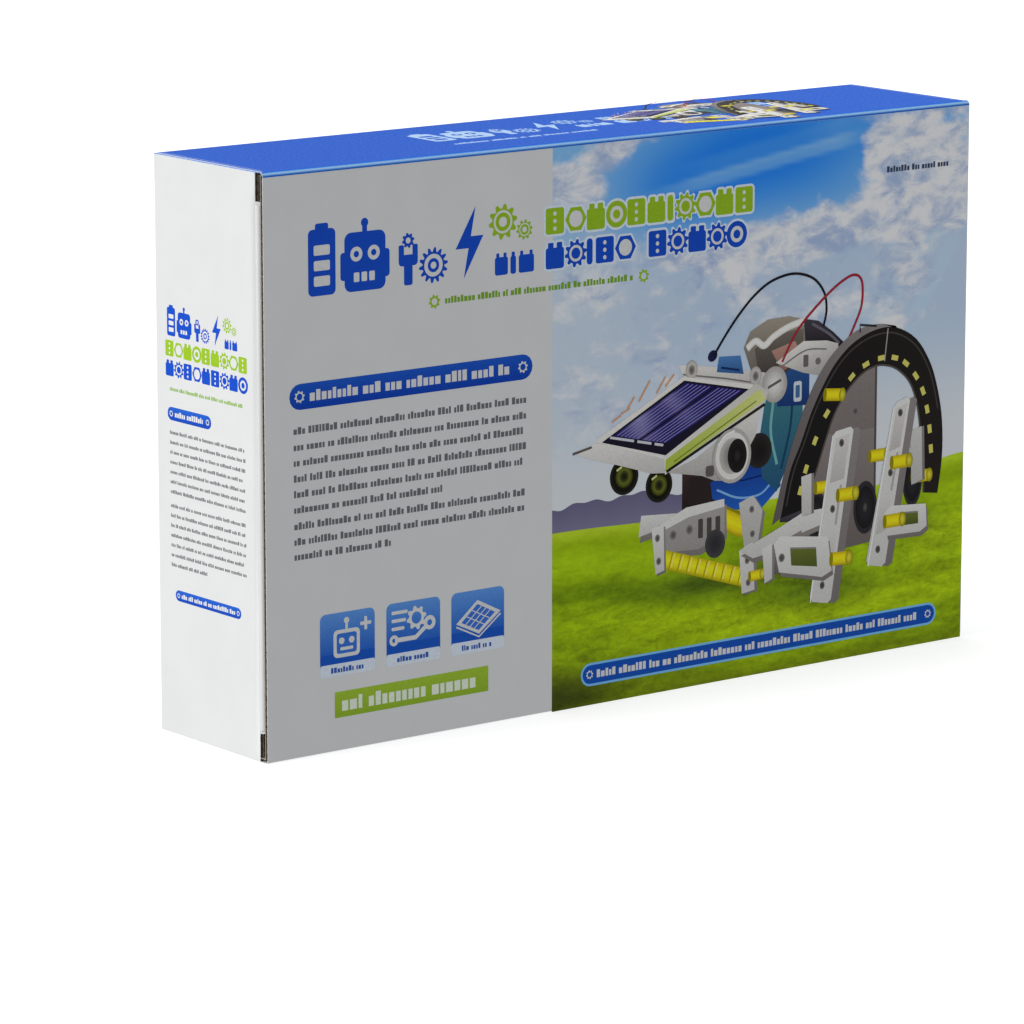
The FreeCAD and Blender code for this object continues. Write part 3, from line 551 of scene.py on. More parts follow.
def tuck_flap(side, sign):
    """The tongue behind the front panel, with rounded corners on its free edge."""
    low, high = (np.array(corner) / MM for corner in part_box(f"{side}_tuck_flap"))
    near, far = (abs(low[0]), abs(high[0])) if sign < 0 else (abs(high[0]), abs(low[0]))
    profile = straight_profile((near, low[1]), (far, low[1]))
    length, corner = near - far, 8.0
    folds = [*np.linspace(low[2], low[2] + corner, 9), *np.linspace(high[2] - corner, high[2], 9)]

    def reach(z):
        side_distance = np.minimum(z - low[2], high[2] - z)
        return 0 * z, length - rounded_end(side_distance, corner)

    board_piece(
        f"{side}_tuck",
        [f"{side}_tuck_flap"],
        f"{side}_tuck",
        profile,
        upright(sign),
        flap_grid(low[2], high[2], reach, folds),
        lambda along, fold: fold,
    )


def dust_flap(side, sign, level):
    """A short flap that hangs from the top panel or stands up from the bottom one, tapered at its back
    edge.
    """
    node = f"{side}_{level}_dust_flap"
    low, high = (np.array(corner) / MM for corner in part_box(node))
    outside = max(abs(low[0]), abs(high[0]))
    up = 1 if level == "bottom" else -1
    crease = low[2] if up > 0 else high[2]
    length = high[2] - low[2]
    taper, lead, corner = 21.0, 2.0, 5.0
    profile = straight_profile((0, 0), (length, 0))
    edges = [low[1], low[1] + lead, low[1] + lead + corner, high[1] - taper - corner, high[1] - taper]
    folds = [*edges, *np.linspace(low[1], low[1] + lead, 5), *np.linspace(high[1] - taper, high[1], 12)]

    def reach(y):
        rise = np.clip((y - low[1]) / lead, 0.02, 1) * length
        fall = np.clip((high[1] - y) / taper, 0.02, 1) * length
        return 0 * y, np.minimum(np.minimum(rise, fall), length - 0.15)

    def space(flat, fold):
        x = sign * (outside + flat[..., 1])
        return np.stack([x, fold, crease + up * flat[..., 0]], -1)

    board_piece(
        f"{side}_{level}_dust",
        [node],
        f"{side}_{level}_dust",
        profile,
        space,
        flap_grid(low[1], high[1], reach, folds),
        lambda along, fold: fold,
    )


def dust_flaps(side, sign):
    """The top and the bottom dust flap of one end."""
    for level in ("top", "bottom"):
        dust_flap(side, sign, level)


# ------------------------------------------------------------------ print


def rounded_line(points, steps=60):
    """A Catmull-Rom curve through the points, sampled evenly in its parameter."""
    points = np.array(points, float)
    ends = np.vstack([2 * points[0] - points[1], points, 2 * points[-1] - points[-2]])
    t = np.linspace(0, len(points) - 1, steps)
    n = np.minimum(t.astype(int), len(points) - 2)
    t = (t - n)[:, None]
    a, b, c, d = (ends[n + k] for k in range(4))
    return 0.5 * (2 * b + (c - a) * t + (2 * a - 5 * b + 4 * c - d) * t**2 + (3 * b - a - 3 * c + d) * t**3)


class Print:
    """Flat shapes of ink on one face of the carton, painted one over another.

    Places are millimetres across and up the face from its lower left corner, seen from outside. at()
    moves and scales what follows. Every shape is a closed slab a little above the one before.
    """

    def __init__(self, corner, across, up):
        self.corner, self.across, self.up = (np.array(v, float) for v in (corner, across, up))
        self.out = np.cross(self.across, self.up)
        self.parts, self.record, self.areas = [], [], []
        self.start = 1
        self.at(0, 0, 1)

    def at(self, across, up, scale):
        self.origin, self.scale = np.array([across, up], float), scale
        return self

    def add(self, points, colour, wrap=False, **values):
        """A grid of (across, up) points in one colour, or in a colour for each point."""
        kit = settings("kit_print")
        self.record.append((points, colour, wrap))
        points = self.origin + np.asarray(points, float) * self.scale
        flat = self.corner + points[..., :1] * self.across + points[..., 1:] * self.up
        height = self.rest_on(points) * kit.step
        part = slab(flat + self.out * (height - kit.ink), flat + self.out * height, wrap)
        ink = linear(np.broadcast_to(colour, (*points.shape[:2], 3)))
        ink = np.concatenate([ink, np.ones((*points.shape[:2], 1))], -1).reshape(-1, 4)
        data = {"ink": np.concatenate([ink, ink])}
        for name, value in values.items():
            flat_value = np.broadcast_to(value, points.shape[:2]).reshape(-1)
            data[name] = np.concatenate([flat_value, flat_value])
        self.parts.append((*part, data))

    def rest_on(self, points):
        """The level of a new shape: one above every earlier shape whose box it overlaps."""
        low, high = points.reshape(-1, 2).min(0), points.reshape(-1, 2).max(0)
        level = self.start
        if self.areas:
            areas = np.array(self.areas)
            over = ((areas[:, :2] < high) & (areas[:, 2:4] > low)).all(1)
            level = int(max(level, 1 + areas[over, 4].max(initial=0)))
        self.areas.append((*low, *high, level))
        return level

    def fill(self, outline, colour, end=None, towards=(0, 1)):
        """A polygon filled from its middle. With end, the colour runs to it along a direction."""
        outline = np.array(outline, float)
        middle = outline.mean(0)
        points = np.stack([np.broadcast_to(middle, outline.shape), outline], 1)
        if end is not None:
            along = points @ np.array(towards, float)
            share = (along - along.min()) / (np.ptp(along) or 1)
            colour = np.array(colour) * (1 - share[..., None]) + np.array(end) * share[..., None]
        self.add(points, colour, wrap=True)

    def between(self, first, second, colour, end=None):
        """The band between two lines with as many points each, from one colour at their start to another."""
        points = np.stack([np.array(first, float), np.array(second, float)], 1)
        if end is not None:
            share = np.linspace(0, 1, len(points))[:, None, None]
            colour = np.array(colour) * (1 - share) + np.array(end) * share
        self.add(points, colour)

    def disc(self, middle, radius, colour, hole=0.0, squash=1.0, lean=0.0, edge=None, sides=32):
        """A disc or ring, squashed across and leaning, with an optional colour at its edge."""
        turn = np.linspace(0, math.tau, sides + 1)[:-1, None]
        size = np.linspace(hole, 1, 3)[None] * radius
        x, y = size * np.cos(turn) * squash, size * np.sin(turn)
        points = np.stack(
            [x * math.cos(lean) - y * math.sin(lean), x * math.sin(lean) + y * math.cos(lean)], -1
        )
        if edge is not None:
            share = np.array([0, 0.35, 1])[None, :, None]
            colour = np.array(colour) * (1 - share) + np.array(edge) * share
        self.add(np.array(middle) + points, colour, wrap=True)

    def gear(self, middle, radius, colour, teeth=8, hole=0.55):
        """A cog: its edge steps between a root and a tip circle, with a round hole."""
        turn = np.linspace(0, math.tau, teeth * 8 + 1)[:-1, None]
        wave = np.clip(2.2 * np.sin(turn * teeth), -1, 1)
        outer = radius * (0.88 + 0.12 * wave)
        size = np.concatenate([np.full_like(outer, hole * radius), outer], 1)
        points = np.stack([size * np.cos(turn), size * np.sin(turn)], -1)
        self.add(np.array(middle) + points, colour, wrap=True)

    def stroke(self, route, width, colour, tube=0.0, smooth=False):
        """A line of ink along a route.

        tube lightens its middle and darkens its edges; smooth rounds the route by passing a Catmull-Rom
        curve through its points.
        """
        route = np.array(route, float)
        if smooth:
            route = rounded_line(route, (len(route) - 1) * 8 + 1)
        run = np.gradient(route, axis=0)
        side = np.stack([-run[:, 1], run[:, 0]], -1)
        side /= np.linalg.norm(side, axis=1, keepdims=True)
        across = np.linspace(-0.5, 0.5, 5 if tube else 2)
        points = route[:, None] + side[:, None] * across[None, :, None] * width
        if tube:
            shine = 1 + tube * (np.array([-0.9, 0.1, 0.5, 0.2, -0.6]))
            colour = np.clip(np.array(colour)[None, None] * shine[None, :, None], 0, 1)
        self.add(points, colour)

    def bar(self, low, high, colour, corner=0.5, end=None):
        """A rectangle from low to high with rounded corners; with end, its colour runs upwards to it."""
        (a0, b0), (a1, b1) = low, high
        corner = min(corner, (a1 - a0) / 2, (b1 - b0) / 2)
        turns = np.linspace(0, math.pi / 2, 5)
        outline = []
        for n, (a, b) in enumerate(((a1, b1), (a0, b1), (a0, b0), (a1, b0))):
            centre = (a + (-corner if n in (0, 3) else corner), b + (-corner if n < 2 else corner))
            for turn in turns + n * math.pi / 2:
                outline.append((centre[0] + corner * math.cos(turn), centre[1] + corner * math.sin(turn)))
        self.fill(outline, colour, end)

    def words(self, across, up, width, height, colour, draw, fill=1.0):
        """A line of small print as plain blocks: words of 2 to 9 blocks of random width, a third of them
        tall.
        """
        place, last = across, across + width * fill
        while place < last - height:
            for tall in draw.random(draw.integers(2, 10)):
                wide = height * (0.32 + 0.3 * draw.random())
                if place + wide > last:
                    break
                top = up + height * (1.0 if tall < 0.33 else 0.74)
                self.add([[(place, up), (place, top)], [(place + wide, up), (place + wide, top)]], colour)
                place += wide + 0.15 * height
            place += 0.42 * height

    def finish(self, name, body, material, extra=()):
        layers = [("ink", "FLOAT_COLOR", 4), *((attribute, "FLOAT", 1) for attribute in extra)]
        piece = make_piece(name, self.parts, material, layers)
        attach(piece, body)


def front_face():
    return Print((-HALF_LENGTH, -HALF_DEPTH, 0), (1, 0, 0), (0, 0, 1))


def top_face():
    return Print((-HALF_LENGTH, -HALF_DEPTH, HEIGHT), (1, 0, 0), (0, 1, 0))


def back_face():
    return Print((HALF_LENGTH, HALF_DEPTH, 0), (-1, 0, 0), (0, 0, 1))


def end_face(sign):
    if sign < 0:
        return Print((-HALF_LENGTH, HALF_DEPTH, 0), (0, -1, 0), (0, 0, 1))
    return Print((HALF_LENGTH, -HALF_DEPTH, 0), (0, 1, 0), (0, 0, 1))


# ------------------------------------------------------------------ front panel

WHITE = (0.90, 0.902, 0.90)
PICTURE_LEFT, PICTURE_RIGHT, HORIZON = 121.5, 314.6, 63.0
PICTURE_LEVELS = 3
COGS_END = 114


def hump(a, b, middle, width, height):
    """A bell shape of height 1: exp of minus the squared distance over the widths."""
    return np.exp(-(((a - middle[0]) / width) ** 2) - ((b - middle[1]) / height) ** 2)


def towards(colour, target, share):
    """colour moved towards target by share, for arrays of colours."""
    share = np.clip(share, 0, 1)[..., None]
    return colour * (1 - share) + np.array(target, float) * share


def smooth(value, low, high):
    """0 below low, 1 above high, and 3t^2 - 2t^3 between."""
    t = np.clip((value - low) / (high - low), 0, 1)
    return t * t * (3 - 2 * t)


def beam(a, b, start, end, width):
    """A beam of light along a line, fading sideways as a bell and towards both ends."""
    start, end = np.array(start, float), np.array(end, float)
    run = end - start
    share = ((a - start[0]) * run[0] + (b - start[1]) * run[1]) / (run @ run)
    off = ((a - start[0]) * run[1] - (b - start[1]) * run[0]) / np.linalg.norm(run)
    return np.exp(-((off / width) ** 6)) * smooth(share, -0.05, 0.3) * (1 - smooth(share, 0.85, 1.05))


def sky_layer(ink, top=198.35):
    """Sky of the picture: deep blue above, pale below, with places for cloud and three beams of light."""
    a, b = np.meshgrid(np.linspace(PICTURE_LEFT, PICTURE_RIGHT, 130), np.linspace(56, top, 97), indexing="ij")
    colour = np.broadcast_to((0.93, 0.945, 0.96), (*a.shape, 3))
    colour = towards(colour, (0.79, 0.87, 0.96), smooth(b, 78, 128))
    colour = towards(colour, (0.56, 0.79, 0.99), smooth(b, 148, 176))
    deep = hump(a, b, (218, 190), 48, 20) + 0.5 * hump(a, b, (175, 178), 26, 14)
    deep += 0.35 * hump(a, b, (285, 192), 26, 8)
    colour = towards(colour, (0.15, 0.55, 1.0), 1.1 * deep)
    colour = towards(colour, (0.86, 0.91, 0.96), 0.75 * hump(a, b, (128, 128), 34, 38))
    light = 0.42 * beam(a, b, (158, 176.5), (266, 192), 2.6) + 0.16 * beam(a, b, (170, 183), (262, 196), 4.0)
    light += 0.4 * beam(a, b, (309, 172), (262, 112), 5.0) + 0.35 * beam(a, b, (314, 158), (276, 104), 3.2)
    colour = towards(colour, (0.80, 0.92, 1.0), light)
    cover = 0.1 - 0.75 * deep
    for middle, width, height, gain in (
        ((138, 188), 20, 15, 1.0),
        ((154, 197), 14, 7, 0.75),
        ((298, 182), 29, 24, 1.25),
        ((270, 192), 12, 12, 0.55),
        ((302, 160), 16, 15, 0.6),
        ((268, 168), 16, 10, 0.5),
        ((212, 158), 56, 9, 0.75),
        ((232, 156), 24, 10, 0.5),
        ((208, 142), 26, 11, 0.35),
        ((262, 158), 16, 9, 0.25),
        ((156, 136), 36, 18, 0.3),
        ((255, 132), 34, 12, 0.3),
        ((296, 128), 22, 14, 0.35),
        ((140, 100), 40, 18, 0.35),
    ):
        cover = cover + gain * hump(a, b, middle, width, height)
    cover = cover - 0.5 * smooth(100 - b, 0, 40)
    ink.add(np.stack([a, b], -1), colour, cloud=cover, grass=0.0)


def mountain_layer(ink):
    """Far hills: a ridge line of three sines over a flat foot, hazy towards the right."""
    a = np.linspace(PICTURE_LEFT, 205, 90)
    ridge = 73.2 - 0.028 * (a - 121.5) + 0.7 * np.sin(a / 4.1) + 0.45 * np.sin(a / 1.7) + 0.9 * np.sin(a / 11)
    ridge = ridge - 9 * smooth(a, 186, 205)
    share = np.linspace(0, 1, 6)
    b = 58 + (ridge[:, None] - 58) * share
    points = np.stack([np.broadcast_to(a[:, None], b.shape), b], -1)
    colour = towards(np.broadcast_to((0.56, 0.55, 0.66), points.shape[:1] + (6, 3)), (0.45, 0.43, 0.56),
                     share)
    ink.add(points, colour, cloud=-1.0, grass=0.0)


def lawn_top(a):
    return HORIZON + 0.6 * np.sin(a / 16) + 6.5 * smooth(a, 268, 314)


def lawn_layer(ink):
    """Grass of the picture: bands of light and shade that run with the slope, and soft shadow under the
    robot.
    """
    share, a = np.meshgrid(np.linspace(0, 1, 60), np.linspace(PICTURE_LEFT, PICTURE_RIGHT, 130))
    b = share * lawn_top(a)
    slope = b + 3.5 * np.sin(a / 31 + 0.6) + 0.03 * (a - 220)
    colour = np.broadcast_to((0.64, 0.77, 0.06), (*a.shape, 3))
    for tint, middle, width, height, share in (
        ((0.70, 0.84, 0.09), (140, 46), 52, 5, 0.9),
        ((0.46, 0.58, 0.05), (150, 34.5), 56, 4.5, 0.9),
        ((0.73, 0.84, 0.08), (235, 21), 80, 8, 0.9),
        ((0.64, 0.76, 0.07), (140, 14), 40, 6, 0.6),
        ((0.46, 0.54, 0.06), (230, 1), 120, 7, 0.95),
        ((0.24, 0.27, 0.07), (124, -2), 26, 9, 0.95),
        ((0.76, 0.88, 0.12), (300, 42), 20, 14, 0.7),
    ):
        colour = towards(colour, tint, share * hump(a, slope, middle, width, height))
    colour = towards(colour, (0.82, 0.94, 0.24), 0.75 * smooth(b - lawn_top(a), -6, -0.5))
    shade = 0.6 * hump(a, b, (246, 27), 26, 6) + 0.7 * hump(a, b, (192, 37), 26, 5)
    shade += 0.3 * hump(a, b, (290, 49), 12, 6) + 0.45 * hump(a, b, (228, 42), 24, 9)
    colour = towards(colour, (0.27, 0.36, 0.10), shade)
    grain = 0.35 + 0.65 * smooth(lawn_top(a) - b, 0, 30)
    ink.add(np.stack([a, b], -1), colour, cloud=0.0, grass=2.1 * grain)


def front_scenery():
    """The landscape that fills the right of the front."""
    ink = front_face()
    sky_layer(ink)
    mountain_layer(ink)
    lawn_layer(ink)
    ink.finish("front_scenery", "box", board_finish(scenery_ink), ("cloud", "grass"))


def toy_block(ink, name, a, b, colour, hole, grow):
    """One 9 mm block of a title row, from a toy's parts.

    With grow it is only the outline behind. Returns its width.
    """
    middle, high = (a + 4.2, b + 4.5), b + 9.1
    if name in ("cog", "wheel", "nut"):
        if name == "cog":
            ink.gear(middle, 4.9 + grow, colour, 10, 0.0)
        else:
            ink.disc(middle, 4.7 + grow, colour, sides=6 if name == "nut" else 32)
        if not grow:
            ink.disc(middle, 2.9, hole, 0.68 if name == "cog" else 0.0)
            if name == "wheel":
                ink.disc(middle, 1.6, colour)
    elif name == "pin":
        ink.bar((a - grow, b - grow), (a + 2.6 + grow, high + grow), colour, 1.2)
        return 4.0
    elif name != "_":
        top = high - (1.8 if name == "brick" else 0)
        ink.bar((a - grow, b - grow), (a + 8 + grow, top + grow), colour, 0.9 + grow)
        if name == "brick":
            for stud in (1.0, 4.8):
                ink.bar((a + stud - grow, top - 1 - grow), (a + stud + 2.4 + grow, high + grow), colour,
                        0.4 + grow)
        elif not grow:
            for c in (1.9, 4.5, 7.1):
                ink.disc((a + 4, b + c), 0.75, hole)
    return 5.6 if name == "_" else 9.0


def title_shapes(ink, blue, green, outline=None, hole=WHITE):
    """The large title as plain shapes: battery, robot head, spanner, wheel and bolt, then cogs and two
    rows of blocks.

    Drawn on the front's own millimetres, so that at() can place a smaller copy on another face.
    """
    # battery
    ink.bar((21.2, 178.4), (26.6, 181.3), blue, 0.8)
    ink.bar((18.3, 157), (29.5, 179.4), blue, 1.8)
    for b in (160.2, 165.4, 170.6):
        ink.bar((20.6, b), (27.2, b + 3.4), hole, 0.6)
    # robot head
    ink.bar((40.6, 176), (42.6, 180), blue, 0.4)
    ink.disc((41.6, 180), 1.5, blue)
    ink.bar((31.5, 161), (34.5, 170.5), blue, 1.2)
    ink.bar((48.9, 161), (51.9, 170.5), blue, 1.2)
    ink.bar((33.2, 157), (50.2, 177), blue, 2.6)
    for a in (38.1, 45.3):
        ink.disc((a, 169.6), 2.5, hole)
        ink.disc((a, 169.6), 1.1, blue)
    for a in (37, 40.2, 43.4):
        ink.bar((a, 160.2), (a + 2.3, 163.4), hole, 0.4)
    # spanner on a nut, and a wheel
    ink.bar((57.9, 157), (61.5, 166), blue, 0.8)
    ink.bar((55.7, 163.6), (63.7, 167.4), blue, 1.4)
    for a in (55.7, 61.5):
        ink.bar((a, 165), (a + 2.2, 170.8), blue, 0.6)
    ink.gear((59.7, 172.2), 2.6, blue, 8, 0.4)
    ink.gear((70.3, 162.8), 6.1, blue, 14, 0.0)
    ink.disc((70.3, 162.8), 3.9, hole, 0.62)
    ink.disc((70.3, 162.8), 1.2, hole)
    # bolt
    ink.fill([(88.2, 181.3), (79.7, 167.2), (85.2, 167.2), (84.6, 169)], blue)
    ink.fill([(88.2, 181.3), (85.6, 168.2), (84, 170.4)], blue)
    ink.fill([(85, 171.2), (79.7, 167.2), (86.6, 167.2), (91.5, 171.2), (86.5, 171.2)], blue)
    ink.fill([(83.2, 157), (91.5, 171.2), (85.4, 168)], blue)
    # cogs
    for middle, radius in (((100, 174.9), 6.1), ((109.3, 171.4), 3.5)):
        ink.gear(middle, radius, green, 10, 0.66)
        ink.disc(middle, radius * 0.52, green, 0.55)
    for a, width in ((96.5, 5.6), (103.2, 2.4), (106.8, 6.6)):
        ink.bar((a, 156.6), (a + width, 162.8), blue, 0.8)
        ink.bar((a + 0.6, 162), (a + 1.9, 164.2), blue, 0.3)
        ink.bar((a + width - 1.9, 162), (a + width - 0.6, 164.2), blue, 0.3)
    rows = ((168.6, green, "plate nut brick wheel plate brick pin cog nut brick plate"),
            (156.6, blue, "brick cog pin plate nut _ plate cog brick cog wheel"))
    for low, colour, names in rows:
        for paint, grow in ((outline, 0.85), (colour, 0.0)):
            a = 118.5
            for name in names.split() if paint is not None else ():
                a += toy_block(ink, name, a, low, paint, hole, grow)


def dashed_pill(ink, low, high, colour, draw, dash=0.42, rim=None, end=None):
    """A capsule band with word-like dashes in white, between two small cogs."""
    height = high[1] - low[1]
    if rim:
        ink.bar((low[0] - 0.8, low[1] - 0.8), (high[0] + 0.8, high[1] + 0.8), rim, height)
    ink.bar(low, high, colour, height, end)
    inset = 0.95 * height
    for a in (low[0] + inset / 2, high[0] - inset / 2):
        ink.gear((a, low[1] + height / 2), 0.24 * height, WHITE, 8, 0.55)
    thick = dash * height
    ink.words(low[0] + inset, low[1] + (height - thick) / 2, high[0] - low[0] - 2 * inset, thick, WHITE, draw)


def tiles(ink, draw):
    """Three rounded tiles with a robot head, a cog with a spanner, and a solar panel."""
    deep, light, paper = (0.12, 0.36, 0.78), (0.40, 0.62, 0.92), (0.90, 0.94, 0.99)
    for a in (22.0, 49.8, 77.5):
        ink.bar((a, 26.3), (a + 22.9, 48.2), paper, 2.2)
        ink.bar((a + 0.5, 26.7), (a + 22.4, 31), (0.80, 0.87, 0.97), 0.5)
        ink.bar((a, 30.9), (a + 22.9, 48.2), deep, 2.2, light)
        ink.bar((a, 29.6), (a + 22.9, 34), deep, 0.3)
        ink.bar((a, 26.3), (a + 22.9, 30.6), paper, 0.8)
        ink.words(a + 4.5, 27.5, 14, 1.9, (0.22, 0.38, 0.72), draw)
    # robot head
    ink.bar((27.6, 32.6), (38.6, 42.2), WHITE, 1.6)
    ink.bar((28.9, 33.9), (37.3, 40.9), (0.24, 0.47, 0.85), 0.9)
    for a in (31, 35.2):
        ink.disc((a, 38.3), 1.15, WHITE)
    ink.bar((30.4, 35), (35.8, 36.1), WHITE, 0.4)
    ink.bar((32.6, 42), (33.6, 44.8), WHITE, 0.2)
    ink.disc((33.1, 45.2), 1.1, WHITE)
    ink.bar((38.8, 42.6), (43.4, 43.8), WHITE, 0.3)
    ink.bar((40.5, 40.9), (41.7, 45.5), WHITE, 0.3)
    # cog and spanner
    ink.gear((62.6, 42), 4.2, WHITE, 8, 0.5)
    ink.stroke([(53.4, 35.2), (62.2, 35.2), (66.8, 38.6)], 1.6, WHITE)
    ink.disc((68.2, 39.6), 2.5, WHITE, 0.42)
    for b in (38.6, 41.4, 44.2):
        ink.bar((52, b), (57.4 + (b - 38.6) / 4, b + 1.2), WHITE, 0.4)
    ink.disc((53, 35.2), 1.9, WHITE, 0.4)
    # solar panel
    ink.fill([(79.6, 37.2), (89.4, 32.6), (98.8, 39.6), (88.8, 44.6)], WHITE)
    ink.fill([(81.8, 37.4), (89.3, 33.9), (96.4, 39.4), (88.8, 43.2)], (0.25, 0.47, 0.85))
    for share in (0.25, 0.5, 0.75):
        low, high = np.array([81.8, 37.4]), np.array([89.3, 33.9])
        start = low + (high - low) * share
        ink.stroke([start, start + (7.0, 5.8)], 0.35, WHITE)
    for share in (0.33, 0.66):
        low, high = np.array([81.8, 37.4]), np.array([88.8, 43.2])
        start = low + (high - low) * share
        ink.stroke([start, start + (7.5, -3.6)], 0.35, WHITE)
    ink.stroke([(79.6, 36.2), (89.4, 31.6), (98.8, 38.6)], 0.6, WHITE)


def front_notes():
    """Title, bands, text blocks, tiles and banner of the front."""
    kit = settings("kit_print")
    draw = np.random.default_rng(kit.seed)
    ink = front_face()
    ink.start = PICTURE_LEVELS + 1
    title_shapes(ink, tuple(kit.blue), tuple(kit.green), (0.90, 0.95, 1.0))
    for a in (70.7, 162):
        ink.gear((a, 150.3), 2.4, tuple(kit.green), 8, 0.5)
    ink.words(75.2, 149.2, 83.3, 2.3, (0.50, 0.68, 0.18), draw)
    dashed_pill(ink, (10.2, 119.4), (112.8, 128.2), (0.07, 0.27, 0.72), draw, end=(0.13, 0.36, 0.80))
    for b, fill in zip((111.8, 106.3, 101, 95.6, 90.3, 85, 79.4, 74.1, 69),
                       (1, 1, 1, 1, 1, 0.63, 1, 1, 0.41)):
        ink.words(11.8, b - 0.6, 98.4, 2.45, tuple(kit.text), draw, fill)
    tiles(ink, draw)
    ink.bar((28, 11.8), (93.5, 20.8), (0.60, 0.74, 0.20), 0.3, (0.66, 0.80, 0.24))
    ink.words(31, 13.9, 59.5, 4.8, (0.94, 0.97, 0.90), draw)
    ink.words(275, 177, 31, 2.2, (0.24, 0.30, 0.40), draw)
    rim, band = (0.52, 0.78, 0.98), (0.10, 0.34, 0.74)
    dashed_pill(ink, (135.2, 7.6), (301.4, 14.3), band, draw, rim=rim)
    ink.finish("front_print", "box", board_finish(print_ink))


# ------------------------------------------------------------------ the robot in the picture

R_WHITE, R_SHADE = (0.965, 0.95, 0.925), (0.72, 0.70, 0.68)
YELLOW, YELLOW_DARK, BLUE_CASE = (0.95, 0.86, 0.12), (0.62, 0.58, 0.06), (0.20, 0.38, 0.62)


def wheel(ink, middle, radius, squash, lean=0.0, rings=()):
    """Concentric discs: a list of (share of the radius, colour, edge colour)."""
    for share, colour, edge in rings:
        ink.disc(middle, radius * share, colour, 0.0, squash, lean, edge)


def prism(ink, near, deep, face, side):
    """A flat plate seen at an angle: its side, moved by deep, and then its face."""
    near = np.array(near, float)
    ink.fill(near + np.array(deep), side, tuple(np.array(side) * 0.85), (0, -1))
    ink.fill(near, face, tuple(np.clip(np.array(face) * 0.9, 0, 1)), (0, -1))


def connector(ink, middle, size=(7.0, 4.2), lean=0.0):
    """A short yellow pin with a darker ribbed end."""
    along = np.array([math.cos(lean), math.sin(lean)])
    start, end = np.array(middle) - along * size[0] / 2, np.array(middle) + along * size[0] / 2
    ink.stroke([start, end], size[1], YELLOW, 0.25)
    ink.disc(end, size[1] * 0.56, (0.97, 0.92, 0.30), 0.0, 0.62, lean, YELLOW_DARK)
    ink.disc(start, size[1] * 0.52, YELLOW_DARK, 0.0, 0.35, lean)


